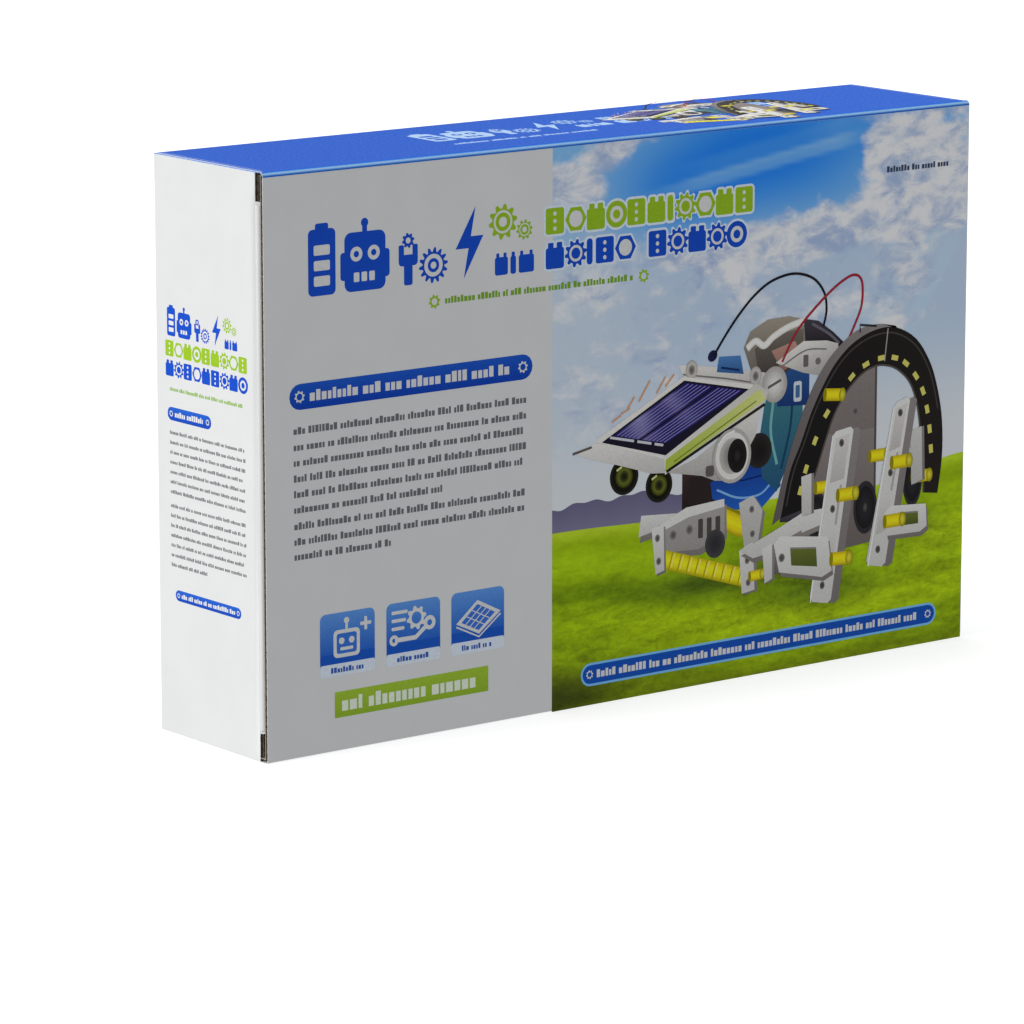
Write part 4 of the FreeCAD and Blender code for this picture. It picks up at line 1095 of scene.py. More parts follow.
def picture_far_side(ink):
    """Wires, hump, hinge and blue case behind the panel."""
    ink.stroke([(226, 58), (236, 57), (246, 58)], 7, (0.28, 0.26, 0.30), 0.2)
    ink.fill([(180, 80), (197, 78), (197, 66), (180, 62)], (0.13, 0.11, 0.12), (0.28, 0.2, 0.2))
    ink.bar((183, 66), (194, 76), (0.20, 0.16, 0.16), 1)
    ink.stroke([(198, 60), (206, 56), (214, 54)], 8, YELLOW, 0.28)
    ink.stroke([(199, 64), (214, 57)], 1.2, YELLOW_DARK)
    lower = (0.16, 0.42, 0.82)
    ink.fill([(193, 73), (208, 78), (224, 76), (226, 68), (216, 60), (204, 62), (194, 67)], lower,
             (0.10, 0.26, 0.6))
    ink.stroke([(196, 70), (206, 66), (216, 66), (222, 70)], 0.8, (0.55, 0.75, 0.95), smooth=True)
    ink.stroke([(199, 74), (208, 72), (219, 73)], 0.6, (0.06, 0.16, 0.45))
    teal = (0.27, 0.52, 0.56)
    ink.fill([(219, 104), (236, 100), (236, 88), (230, 77), (224, 66), (217, 72), (216, 88)], teal,
             (0.16, 0.36, 0.5), (0, -1))
    ink.stroke([(222, 99), (221, 88), (224, 76)], 1.2, (0.5, 0.75, 0.75), smooth=True)
    ink.stroke([(231, 97), (230, 88), (226, 74)], 1.0, (0.10, 0.28, 0.4), smooth=True)
    ink.fill([(222, 113), (239, 110), (239, 96), (224, 97)], BLUE_CASE, (0.12, 0.24, 0.48), (0, -1))
    ink.bar((231.6, 97.8), (235.4, 105.2), (0.88, 0.90, 0.92), 0.9)
    ink.bar((232.5, 99.2), (234.5, 103.8), (0.30, 0.46, 0.64), 0.5)
    ink.stroke([(224.5, 111.5), (237.5, 109)], 0.8, (0.45, 0.62, 0.85))
    # hump: wavy white band between two grey shells
    ink.fill([(208, 120), (211, 125.5), (219, 129), (229, 129.3), (238, 127), (237, 116), (226, 109),
              (212, 110)],
             (0.46, 0.43, 0.40), (0.68, 0.64, 0.58))
    ink.fill([(213, 119), (222, 123.5), (236, 124), (236, 113), (226, 108), (215, 110)], (0.50, 0.46, 0.42),
             (0.30, 0.27, 0.26), (0, -1))
    ink.fill([(221, 117.5), (232, 120), (236, 113.5), (226, 109.5)], (0.80, 0.62, 0.56), (0.62, 0.46, 0.42),
             (0, -1))
    ink.stroke([(209.5, 119.5), (213.5, 121.8), (217.5, 119.8), (222, 122.6), (229, 125.4), (237, 127)], 2.6,
               R_WHITE, 0.12, smooth=True)
    # motor and its cover
    ink.fill([(236, 127.6), (243, 126.2), (250, 121.5), (256, 116.5), (251, 114.5), (237, 118)],
             (0.15, 0.13, 0.15),
             (0.3, 0.28, 0.32))
    ink.stroke([(240, 125.4), (248, 121), (253, 117)], 1.0, (0.45, 0.43, 0.47), smooth=True)
    ink.fill([(223, 113), (236, 119.5), (247, 118.6), (252.5, 117), (253, 110.5), (245, 106), (236, 108)],
             R_WHITE,
             R_SHADE, (0.3, -1))
    ink.stroke([(226, 111.5), (237, 116), (247, 115.5)], 0.6, (0.55, 0.53, 0.52), smooth=True)
    ink.bar((236, 110), (238.4, 114.4), (0.45, 0.43, 0.42), 0.5)
    ink.disc((243, 111.5), 1.3, (0.5, 0.48, 0.46))
    # hinge bar with knobs, and the blue block on it
    ink.fill([(178, 117), (192, 115), (206, 112.6), (219, 109.8), (216, 104), (200, 106.4), (181, 110.5)],
             R_WHITE,
             (0.80, 0.78, 0.76), (0, -1))
    ink.stroke([(180, 113.4), (200, 109.8), (215, 106.4)], 0.6, (0.52, 0.50, 0.49))
    ink.fill([(195.5, 112.6), (196.6, 118), (206.5, 117.4), (208, 110.6)], BLUE_CASE, (0.35, 0.55, 0.8))
    ink.stroke([(197.5, 114), (206, 112.2)], 0.8, (0.10, 0.20, 0.4))
    for middle in ((184, 114.6), (213.6, 109.2)):
        wheel(ink, middle, 3.5, 0.8, 0, ((1, R_WHITE, R_SHADE), (0.55, (0.4, 0.38, 0.36), R_SHADE)))
    wheel(ink, (222.5, 105.2), 6.6, 0.9, 0,
          ((1, (0.90, 0.89, 0.87), R_SHADE), (0.72, R_WHITE, (0.8, 0.79, 0.77))))
    ink.stroke([(219.4, 104.3), (225.6, 106.6)], 1.0, (0.42, 0.40, 0.38))
    # wires
    red, black = (0.66, 0.16, 0.22), (0.12, 0.11, 0.14)
    ink.disc((193.6, 118.6), 1.9, (0.12, 0.14, 0.3), 0.0, 1.2, 0.6)
    ink.stroke([(194, 118.5), (200, 126), (206, 132.5), (213, 138.5), (221, 142.8), (231, 144.4), (240, 142),
                (245.4, 136.5), (246.8, 130), (245.5, 124)], 0.95, black, 0.3, smooth=True)
    ink.stroke([(226, 113), (231, 121), (236, 126.6), (246, 134.5), (254, 139.4), (260, 141.2),
                (263.6, 138.4),
                (263.6, 130), (260.4, 123), (257.5, 118)], 0.95, red, 0.3, smooth=True)


def picture_arch(ink):
    """The large arch: grey plate within, side strip, black tread, and yellow marks along it."""
    outer = rounded_line([(226, 56), (230, 72), (235, 82), (240, 93), (246, 103), (252, 110.5), (260, 116.5),
                          (270, 120),
                       (280, 120), (290, 115), (297, 106), (301, 96), (303.6, 84), (304, 70), (302, 56)])
    inner = rounded_line([(237, 58), (243, 72), (247, 82), (251, 91), (257, 99), (264, 104.5), (270, 106.6),
                          (275, 106.6),
                       (281, 104.6), (287, 99.6), (290.4, 93), (292.2, 86), (293.4, 77), (294.8, 67),
                       (295, 57)])
    side = rounded_line([(222, 54), (228, 74), (232.6, 86), (238, 97.5), (244, 107), (250.6, 114),
                         (259, 119.6),
                      (266, 121.8), (272, 122), (276, 121.4), (280, 120.6)])
    plate = (0.58, 0.54, 0.53)
    edge = rounded_line([(237, 58), (243, 72), (247, 82), (251, 91), (257, 99), (264, 104.5), (271, 106.6)],
                        40)
    ink.between(edge, np.stack([np.full(40, 271.0), edge[:, 1].clip(40, 106.6)], -1), (0.50, 0.46, 0.45),
                plate)
    ink.fill([(236, 60), (248, 84), (271, 84), (271, 42), (240, 40)], (0.46, 0.42, 0.41), plate)
    ink.stroke([(271, 40), (271, 106.4)], 1.0, (0.36, 0.33, 0.32))
    wheel(ink, (261.2, 91.2), 1.5, 1, 0, ((1, (0.34, 0.31, 0.30), plate),))
    wheel(ink, (255, 72), 1.3, 1, 0, ((1, (0.34, 0.31, 0.30), plate),))
    ink.between(side, rounded_line(outer[:43], 60), (0.42, 0.39, 0.39), (0.66, 0.63, 0.62))
    ink.between(outer, inner, (0.12, 0.11, 0.11), (0.17, 0.15, 0.14))
    ink.stroke(inner[2:], 0.7, (0.36, 0.33, 0.31))
    ink.stroke((outer * 0.86 + inner * 0.14)[1:50], 0.6, (0.30, 0.28, 0.27))
    marks = np.array([(235.2, 65), (237.8, 72.6), (242, 82.5), (247.4, 91.8), (259.2, 104), (266, 107.8),
                      (273.4, 109.4),
                      (280, 108.8), (285.4, 106.2), (290.4, 101), (294, 95), (296.2, 88), (297.6, 80.5),
                      (298.4, 73)])
    run = np.gradient(marks, axis=0)
    run /= np.linalg.norm(run, axis=1, keepdims=True)
    for mark, way in zip(marks, run):
        ink.stroke([mark - way * 1.6, mark + way * 1.6], 1.9, (0.90, 0.87, 0.45))
    ink.stroke([(263, 119.8), (263, 122.6), (271, 121.4)], 0.8, (0.2, 0.19, 0.2))
    ink.stroke([(276.5, 120), (275, 108)], 0.5, (0.70, 0.68, 0.66))


def picture_head(ink):
    """Solar panel in its white and lime frame, headlights, and the ear ring."""
    # dark disc behind the ear
    wheel(ink, (215.5, 82), 6.4, 0.95, 0, ((1, (0.12, 0.10, 0.10), (0.2, 0.18, 0.18)),))
    ink.fill([(173, 79), (186, 82.5), (216, 98), (214, 88), (203, 72.5), (195, 73.5), (189, 76)], R_WHITE,
             R_SHADE, (0, -1))
    for middle, radius in (((153.6, 80), 6.6), ((169.4, 75), 6.2)):
        wheel(ink, middle, radius, 0.98, 0, (
            (1, (0.10, 0.09, 0.08), (0.16, 0.15, 0.12)),
            (0.82, (0.20, 0.19, 0.10), (0.07, 0.07, 0.05)),
            (0.60, (0.60, 0.64, 0.22), (0.24, 0.25, 0.08)),
            (0.34, (0.10, 0.10, 0.06), (0.34, 0.36, 0.14)),
        ))
        ink.stroke([(middle[0] - 3.4, middle[1] + 2.4), (middle[0] - 1, middle[1] + 3.6)], 0.8,
                   (0.85, 0.88, 0.6))
    # frame: front lip, top, far side, and the lime band with its dark line
    ink.fill([(131, 91), (141, 93.4), (172.5, 85.4), (172.5, 79), (166, 79.6), (150, 84.6), (138, 88)],
             R_WHITE, (0.82, 0.81, 0.80), (0, -1))
    ink.fill([(140, 94), (180, 112.6), (213, 106.2), (173.5, 83.6)], R_WHITE)
    ink.stroke([(130.5, 90.6), (139, 92.2)], 0.9, (0.40, 0.38, 0.37))
    ink.fill([(171.5, 85.6), (214, 106.6), (219.5, 103), (218, 98.6), (172, 78.4)], R_WHITE,
             (0.86, 0.85, 0.82))
    ink.fill([(172.4, 83.8), (215.6, 104.4), (218.6, 100.4), (172, 79.6)], (0.72, 0.80, 0.30),
             (0.90, 0.92, 0.58), (1, 0))
    ink.stroke([(172.6, 79.4), (196, 89.4), (218, 98.6)], 1.1, (0.16, 0.15, 0.13))
    ink.stroke([(176, 82.6), (214, 100.2)], 0.45, (0.50, 0.56, 0.16))
    # cells and their silver lines
    ink.fill([(143.4, 93.3), (180.6, 111.2), (210.4, 104.9), (172.2, 85.4)], (0.12, 0.11, 0.18))
    corners = [np.array(p) for p in ((148.2, 95.2), (180.8, 110.4), (208.4, 104.6), (172.8, 89.6))]

    def cell(u, v):
        """A place on the panel: u along its length from the front, v across."""
        near = corners[0] * (1 - v) + corners[3] * v
        far = corners[1] * (1 - v) + corners[2] * v
        return near * (1 - u) + far * u

    for v0, v1 in ((0.02, 0.48), (0.53, 0.98)):
        u, v = np.meshgrid(np.linspace(0, 1, 14), np.linspace(v0, v1, 8), indexing="ij")
        points = cell(u[..., None], v[..., None])
        glow = np.exp(-(((u - 0.35 + 0.6 * v) / 0.16) ** 2))
        glow += 0.8 * np.exp(-(((u - 0.75 + 0.4 * v) / 0.1) ** 2))
        base = towards(np.broadcast_to((0.17, 0.13, 0.46), (*u.shape, 3)), (0.66, 0.64, 0.82),
                       0.9 * glow * (1 - 0.75 * v))
        ink.add(points, base)
        for share in np.linspace(0.12, 0.88, 6):
            v2 = v0 + (v1 - v0) * share
            ink.stroke([cell(0.01, v2), cell(0.99, v2)], 0.26, (0.62, 0.62, 0.80))
    for v0, v1 in ((0.0, 0.44), (0.5, 0.76), (0.82, 0.98)):
        ink.stroke([cell(-0.035, v0), cell(-0.035, v1)], 0.9, (0.86, 0.86, 0.90))
    for spark in (((155, 104), (158, 108)), ((160, 106), (165, 113)), ((168, 108), (172, 113.5)),
                  ((172, 110), (176, 114)),
                  ((152, 102.5), (156, 104)), ((148, 100), (152, 102))):
        ink.stroke(spark, 0.6, (0.92, 0.66, 0.46))
    # ear
    wheel(ink, (202.8, 81.6), 9.9, 0.9, 0, (
        (1, R_WHITE, (0.74, 0.73, 0.71)),
        (0.86, (0.90, 0.89, 0.87), R_WHITE),
        (0.66, (0.55, 0.53, 0.51), (0.8, 0.79, 0.77)),
    ))
    wheel(ink, (205.2, 81.4), 6.2, 0.72, 0,
          ((1, (0.10, 0.09, 0.09), (0.15, 0.14, 0.14)), (0.45, (0.22, 0.2, 0.2), (0.1, 0.1, 0.1))))
    ink.stroke([(196.4, 86), (199.6, 89.2), (204, 90.6)], 0.7, (1, 1, 1), smooth=True)
    ink.bar((190.8, 75.4), (194.4, 79.2), (0.40, 0.38, 0.37), 0.8)


def picture_near_side(ink):
    """Side frames, yellow cross bar, wheels, legs and links in front."""
    frame_face, frame_side = (0.93, 0.92, 0.90), (0.62, 0.59, 0.57)
    # far left bracket, then the left side frame
    prism(ink, [(160.2, 57.4), (161.4, 65), (178.6, 63.8), (171, 59.4)], (0.6, -2.2), frame_face, frame_side)
    prism(ink, [(168, 50.6), (169.4, 60.6), (182, 65.4), (199.6, 66.4), (199.8, 54), (188, 49.6)], (1, -2.2),
          (0.72, 0.70, 0.68), frame_side)
    ink.fill([(169, 57.6), (170, 60.8), (182, 65.4), (199.4, 66.4), (199.6, 63.6), (183, 61.8)], frame_face)
    for middle in ((176, 56.2), (183.5, 57.2)):
        wheel(ink, middle, 1.8, 0.9, 0, ((1, (0.36, 0.34, 0.33), frame_side),))
    for a in (187.5, 191.5, 195.5):
        ink.bar((a, 53.5), (a + 2.2, 60.5), (0.34, 0.31, 0.30), 0.4)
    ink.disc((195.4, 50.6), 5.2, (0.20, 0.20, 0.22), 0.0, 0.9, 0, (0.3, 0.29, 0.3))
    # dark wheels behind the legs, and the grey skirt on the right
    for middle, radius, squash in (((266.5, 55), 9.8, 0.58), ((243, 55), 8.6, 0.6), ((289.5, 62), 9.4, 0.5),
                                   ((214, 56.5), 6.2, 0.5)):
        wheel(ink, middle, radius, squash, 0, (
            (1, (0.14, 0.13, 0.14), (0.22, 0.21, 0.22)),
            (0.8, (0.20, 0.19, 0.21), (0.13, 0.12, 0.13)),
            (0.2, (0.42, 0.40, 0.39), (0.2, 0.19, 0.2)),
        ))
    prism(ink, [(206.4, 64), (213, 66), (217.5, 60), (215, 46), (209, 47)], (1.2, -1), (0.84, 0.83, 0.81),
          frame_side)
    for middle in ((212.4, 61), (212.8, 52)):
        wheel(ink, middle, 1.3, 0.9, 0, ((1, (0.34, 0.32, 0.31), frame_side),))
    # yellow cross bar and the posts at its ends
    ink.stroke([(171, 48.2), (190, 42.4), (210, 36.2)], 6.8, (0.93, 0.88, 0.12), 0.25)
    for share in np.linspace(0.1, 0.92, 9):
        middle = np.array([171, 48.2]) * (1 - share) + np.array([210, 36.2]) * share
        ink.stroke([middle + (-1.0, -3.1), middle + (1.0, 3.1)], 0.55, (0.72, 0.68, 0.08))
        ink.stroke([middle + (0.2, -2.3), middle + (1.9, 2.5)], 0.5, (1.0, 0.96, 0.55))
    prism(ink, [(166, 60), (171.6, 60.6), (172, 44), (168, 43)], (0.8, -0.8), frame_face, frame_side)
    prism(ink, [(206.6, 46.6), (213, 49), (214, 31.4), (208, 30.6)], (1.4, -0.6), frame_face, frame_side)
    for middle in ((168.8, 56), (169.4, 47.6), (210.4, 42.6), (211, 34.4)):
        wheel(ink, middle, 1.4, 0.8, 0, ((1, (0.32, 0.30, 0.29), frame_side),))
    connector(ink, (214.6, 36.6), (6, 3.8), 0.05)
    # right side frame with its window
    prism(ink, [(207, 46.4), (222, 51.4), (237, 57), (249, 57.2), (247, 51.6), (236, 49.4), (224, 44.4),
                (213, 43)], (0.6, -1.8), frame_face, frame_side)
    prism(ink, [(217.4, 46), (222, 47.4), (222.2, 34.4), (218.6, 33)], (1.2, -0.4), frame_face, frame_side)
    ink.fill([(223, 46.4), (236, 50.4), (236, 37.6), (223.6, 35.6)], (0.60, 0.57, 0.55), (0.44, 0.41, 0.40),
             (0, -1))
    ink.bar((225.6, 38.6), (232.4, 44.6), (0.24, 0.22, 0.22), 0.8)


def cut_corners(corners, size):
    """The polygon with each corner cut back by size along both of its sides."""
    corners = np.array(corners, float)
    before, after = np.roll(corners, 1, 0) - corners, np.roll(corners, -1, 0) - corners
    before /= np.linalg.norm(before, axis=1, keepdims=True)
    after /= np.linalg.norm(after, axis=1, keepdims=True)
    return np.stack([corners + before * size, corners + after * size], 1).reshape(-1, 2)


def picture_legs(ink):
    """Legs, links and yellow pins at the near side."""
    face, side = (0.95, 0.94, 0.92), (0.60, 0.57, 0.56)

    def leg(top_left, top_right, bottom_right, bottom_left, deep, holes):
        corners = [np.array(p, float) for p in (top_left, top_right, bottom_right, bottom_left)]
        prism(ink, cut_corners(corners, 1.6), deep, face, side)
        top, low = (corners[0] + corners[1]) / 2, (corners[2] + corners[3]) / 2
        run, half = low - top, (corners[1] - corners[0]) / 2
        for start, end in ((0.04, 0.3), (0.58, 0.8)):
            ink.fill(
                [top + run * start - half * 0.62, top + run * start + half * 0.7,
                 top + run * end + half * 0.7, top + run * end - half * 0.62],
                (0.80, 0.78, 0.76), (0.90, 0.89, 0.87),
            )
        for share in holes:
            wheel(ink, top + run * share, 1.45, 0.8, 0, ((1, (0.26, 0.24, 0.23), (0.5, 0.48, 0.46)),))
        ink.stroke([top + run * 0.33 + half * 0.5, top + run * 0.56 + half * 0.5], 1.0, (0.74, 0.72, 0.70))
        ink.stroke([top + run * 0.02 - half * 0.94, top + run * 0.98 - half * 0.94], 0.5, (1, 1, 1))

    # connectors behind
    for middle, lean in (((246.6, 65), 0.0), ((272.6, 73.6), 0.0), ((293.6, 63.4), 0.0),
                         ((250.6, 98.4), -0.1)):
        connector(ink, middle, (8.4, 4.6), lean)
    prism(ink, [(288, 80.6), (293.6, 82), (294.4, 62), (289, 60.6)], (1.2, 0), (0.86, 0.85, 0.83), side)
    prism(ink, [(235.6, 70), (240.4, 70.8), (240.6, 56), (236, 55.4)], (1.2, 0), (0.90, 0.89, 0.87), side)
    leg((250.4, 84.6), (260.6, 86), (250.2, 21.4), (240, 23.4), (3.6, -0.4), (0.08, 0.46, 0.9))
    leg((280, 92), (288, 94), (276.4, 31.6), (267, 33.4), (3.4, -0.3), (0.08, 0.44, 0.9))
    # links: white loops with a dark window
    for outline, window in (
        ([(222.8, 46.8), (226, 49.4), (248.6, 46.4), (250.6, 33.6), (246, 31.8), (225.4, 36.2)],
         [(230.6, 44.4), (243, 43), (243.6, 36), (231.2, 38)]),
        ([(275.6, 51.4), (279, 54), (296.2, 52.8), (296.8, 44.4), (293.6, 42.6), (277, 43)],
         [(283, 50.8), (292.4, 50.2), (292.6, 45.8), (283.2, 46)]),
    ):
        prism(ink, outline, (0.8, -1.6), face, side)
        ink.fill(window, (0.34, 0.38, 0.16), (0.46, 0.50, 0.22))
        ink.stroke([window[0], window[1]], 0.6, side)
    wheel(ink, (226.6, 41.4), 1.6, 0.9, 0, ((1, (0.3, 0.28, 0.27), side),))
    for middle, lean in (((254.6, 37.6), -0.04), ((280.4, 48.4), 0.0), ((257.4, 61), 0.0),
                         ((283.4, 70), 0.0)):
        connector(ink, middle, (8.6, 5.0), lean)


def robot_picture(ink):
    """The printed robot, back to front, on the front's own millimetres."""
    picture_far_side(ink)
    picture_arch(ink)
    picture_head(ink)
    picture_near_side(ink)
    picture_legs(ink)


# ------------------------------------------------------------------ other faces


def front_robot():
    """The robot in the middle of the landscape."""
    ink = front_face()
    ink.start = PICTURE_LEVELS + 1
    robot_picture(ink)
    ink.finish("front_robot", "box", board_finish(print_ink))


def top_print():
    """Blue top panel with a small pale title and a small robot."""
    kit = settings("kit_print")
    ink = top_face()
    edge, deep, pale = settings("kit_board").bend, tuple(kit.top_blue), (0.72, 0.84, 0.98)
    span = LOW_X
    u, v = np.meshgrid(np.linspace(-span, span, 40) + HALF_LENGTH,
                       np.linspace(edge, 2 * HALF_DEPTH - edge, 14), indexing="ij")
    base = towards(np.broadcast_to(deep, (*u.shape, 3)), (0.0, 0.375, 0.84), 0.7 * smooth(u, 60, 315))
    ink.add(np.stack([u, v], -1), base)
    ink.at(78, -101, 0.82)
    title_shapes(ink, pale, (0.66, 0.80, 0.96), hole=deep)
    ink.at(52, 2, 0.44).words(95, 36, 150, 6, pale, np.random.default_rng(kit.seed))
    ink.at(104, -9.5, 0.52)
    robot_picture(ink)
    # the blue goes on round both long creases, with a painted highlight: palest where it turns
    for turn, reach in ((1, HIGH[0]), (-1, LOW_X)):
        path = quarter((-HALF_DEPTH + edge, HEIGHT - edge), edge + 0.02, math.pi, math.pi / 2)
        x, rows = np.meshgrid(np.linspace(-reach, reach, 30), np.arange(len(path)))
        flat = np.stack([x, path[rows, 0] * turn, path[rows, 1]], -1)
        inner = quarter((-HALF_DEPTH + edge, HEIGHT - edge), edge, math.pi, math.pi / 2)
        low = np.stack([x, inner[rows, 0] * turn, inner[rows, 1]], -1)
        # painted highlight: the blue is lightened along the middle of the bend
        glow = np.exp(-(((rows - 3.5) / 2.0) ** 2))
        tint = linear(towards(np.broadcast_to(deep, (*x.shape, 3)), (0.72, 0.86, 1.0), 0.95 * glow))
        tint = np.concatenate([tint, np.ones((*x.shape, 1))], -1).reshape(-1, 4)
        ink.parts.append((*slab(low, flat, False), {"ink": np.concatenate([tint, tint])}))
    ink.finish("top_print", "box", board_finish(print_ink))


def end_print(side, sign):
    """Narrow title, bands and text blocks on an end panel."""
    kit = settings("kit_print")
    draw = np.random.default_rng(kit.seed + 1 + (sign > 0))
    ink = end_face(sign)
    blue, green = tuple(kit.blue), tuple(kit.green)
    ink.at(0.4, 70.4, 0.435)
    # the large shapes, then the rows under them
    title_head(ink, blue, green)
    ink.at(0, 0, 1)
    for low, colour, names in (
        (131.6, green, "plate nut brick wheel plate brick cog nut plate"),
        (124.8, blue, "brick cog plate nut brick plate cog brick wheel"),
    ):
        ink.at(7.2, low, 0.6)
        a = 0.0
        for name in names.split():
            a += toy_block(ink, name, a, 0, colour, WHITE, 0.0)
    ink.at(0, 0, 1)
    ink.words(9.5, 119.8, 43, 1.3, (0.55, 0.72, 0.25), draw)
    band, light = (0.08, 0.29, 0.73), (0.16, 0.40, 0.82)
    dashed_pill(ink, (8, 109.6), (34, 114.2), band, draw, end=light)
    for b in np.arange(104.8, 84, -3.42):
        ink.words(9.3, b, 44.6, 1.25, tuple(kit.text), draw)
    for b in np.arange(79.4, 56, -3.42):
        ink.words(9.3, b, 44.6, 1.25, tuple(kit.text), draw, 0.5 if b < 59 else 1.0)
    dashed_pill(ink, (11.5, 47.2), (50.5, 51), band, draw, end=light)
    # the panel's upper cut edge is covered in the top panel's blue, lightened as a painted highlight along
    # the edge
    ink.corner = np.array((sign * (HALF_LENGTH - BOARD), HALF_DEPTH - 0.6, END_HIGH[2]))
    ink.across, ink.up, ink.out = (np.array(v, float) for v in ((sign, 0, 0), (0, -1, 0), (0, 0, 1)))
    ink.bar((0.02, 0), (BOARD - 0.05, 2 * HALF_DEPTH - 3.4), (0.44, 0.63, 0.93), 0.05)
    ink.finish(f"{side}_end_print", f"{side}_end_panel", board_finish(print_ink))


def title_head(ink, blue, green):
    """The first half of the title, for the narrow ends: battery, head, spanner, wheel, bolt and cogs."""
    shapes = front_face()
    title_shapes(shapes, blue, green)
    for points, colour, wrap in shapes.record:
        if points[..., 0].max() < COGS_END:
            ink.add(points, colour, wrap)


def back_print():
    """Back panel: header band, a small picture of the robot, six tiles with plain pictograms and text
    blocks.
    """
    kit = settings("kit_print")
    draw = np.random.default_rng(kit.seed + 5)
    ink = back_face()
    blue, green = tuple(kit.blue), tuple(kit.green)
    ink.bar((3, 158), (310, 196), (0.10, 0.34, 0.80), 2, (0.26, 0.55, 0.95))
    ink.at(8, 36, 0.84)
    title_shapes(ink, WHITE, (0.80, 0.90, 0.45), hole=(0.16, 0.42, 0.86))
    ink.at(0, 0, 1)
    ink.words(196, 181, 104, 4.2, (0.92, 0.96, 1), draw)
    for b in (174, 169, 164):
        ink.words(196, b, 104, 2.2, (0.80, 0.89, 1), draw)
    ink.start = PICTURE_LEVELS + 1
    picture = (-82.3, 38, 0.76)
    scenery = back_face().at(*picture)
    sky_layer(scenery, 147)
    mountain_layer(scenery)
    lawn_layer(scenery)
    scenery.finish("back_scenery", "box", board_finish(scenery_ink), ("cloud", "grass"))
    ink.at(*picture)
    robot_picture(ink)
    ink.at(0, 0, 1)
    for n in range(6):
        a, b = 168 + 47 * (n % 3), 104 - 48 * (n // 3)
        ink.bar((a, b), (a + 41, b + 42), (0.78, 0.85, 0.93), 2)
        ink.bar((a + 0.5, b + 0.5), (a + 40.5, b + 41.5), (0.955, 0.965, 0.98), 1.8)
        ink.bar((a + 0.5, b + 30), (a + 40.5, b + 41.5), (blue, green)[n % 2], 1.8)
        ink.words(a + 4, b + 34, 33, 2.6, WHITE, draw)
        middle = (a + 20.5, b + 17.5)
        if n % 3 == 0:
            ink.gear(middle, 9.5, (blue, green)[n % 2], 10, 0.6)
            ink.gear((a + 32, b + 9), 4.6, green, 9, 0.5)
        elif n % 3 == 1:
            ink.fill([(a + 6, b + 12), (a + 22, b + 6), (a + 36, b + 18), (a + 20, b + 26)],
                     (0.20, 0.22, 0.48), (0.40, 0.42, 0.7))
            for share in (0.33, 0.66):
                ink.stroke([(a + 6 + 16 * share, b + 12 - 6 * share),
                            (a + 20 + 16 * share, b + 26 - 8 * share)], 0.5, WHITE)
        else:
            ink.bar((a + 11, b + 8), (a + 30, b + 23), blue, 2.4)
            for eye in (16.4, 24.6):
                ink.disc((a + eye, b + 17.4), 2.1, WHITE)
            ink.bar((a + 15, b + 10.6), (a + 26, b + 12.4), WHITE, 0.6)
            ink.stroke([(a + 20.5, b + 23), (a + 20.5, b + 26)], 0.9, blue)
            ink.disc((a + 20.5, b + 26.6), 1.2, blue)
    ink.bar((10, 8), (305, 34), (0.93, 0.95, 0.97), 2)
    for b in np.arange(29, 9, -4.2):
        ink.words(14, b, 130, 1.7, tuple(kit.text), draw)
        ink.words(160, b, 100, 1.7, tuple(kit.text), draw)
    ink.disc((284, 21), 9.6, green, 0.78)
    ink.gear((284, 21), 5.6, green, 9, 0.5)
    ink.finish("back_print", "box", board_finish(print_ink))


# ------------------------------------------------------------------ creases


def crease_strip(name, path, first, last, space, finish=coated_board):
    """A quarter-round strip of liner, curved round the fold between two panels."""
    kit = settings("kit_board")
    rows = np.array(path, float)
    run = np.gradient(rows, axis=0)
    normal = np.stack([-run[:, 1], run[:, 0]], -1) / np.linalg.norm(run, axis=1, keepdims=True)
    fold = np.broadcast_to(np.linspace(first, last, 12), (len(rows), 12))

    def at(depth):
        return space(np.broadcast_to((rows - normal * depth)[:, None], (*fold.shape, 2)), fold)

    piece = make_piece(name, [slab(at(kit.liner), at(0.0), False)], board_finish(finish))
    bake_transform(piece)


def quarter(centre, radius, first, last):
    turn = np.linspace(first, last, 9)
    return np.stack([centre[0] + radius * np.cos(turn), centre[1] + radius * np.sin(turn)], -1)


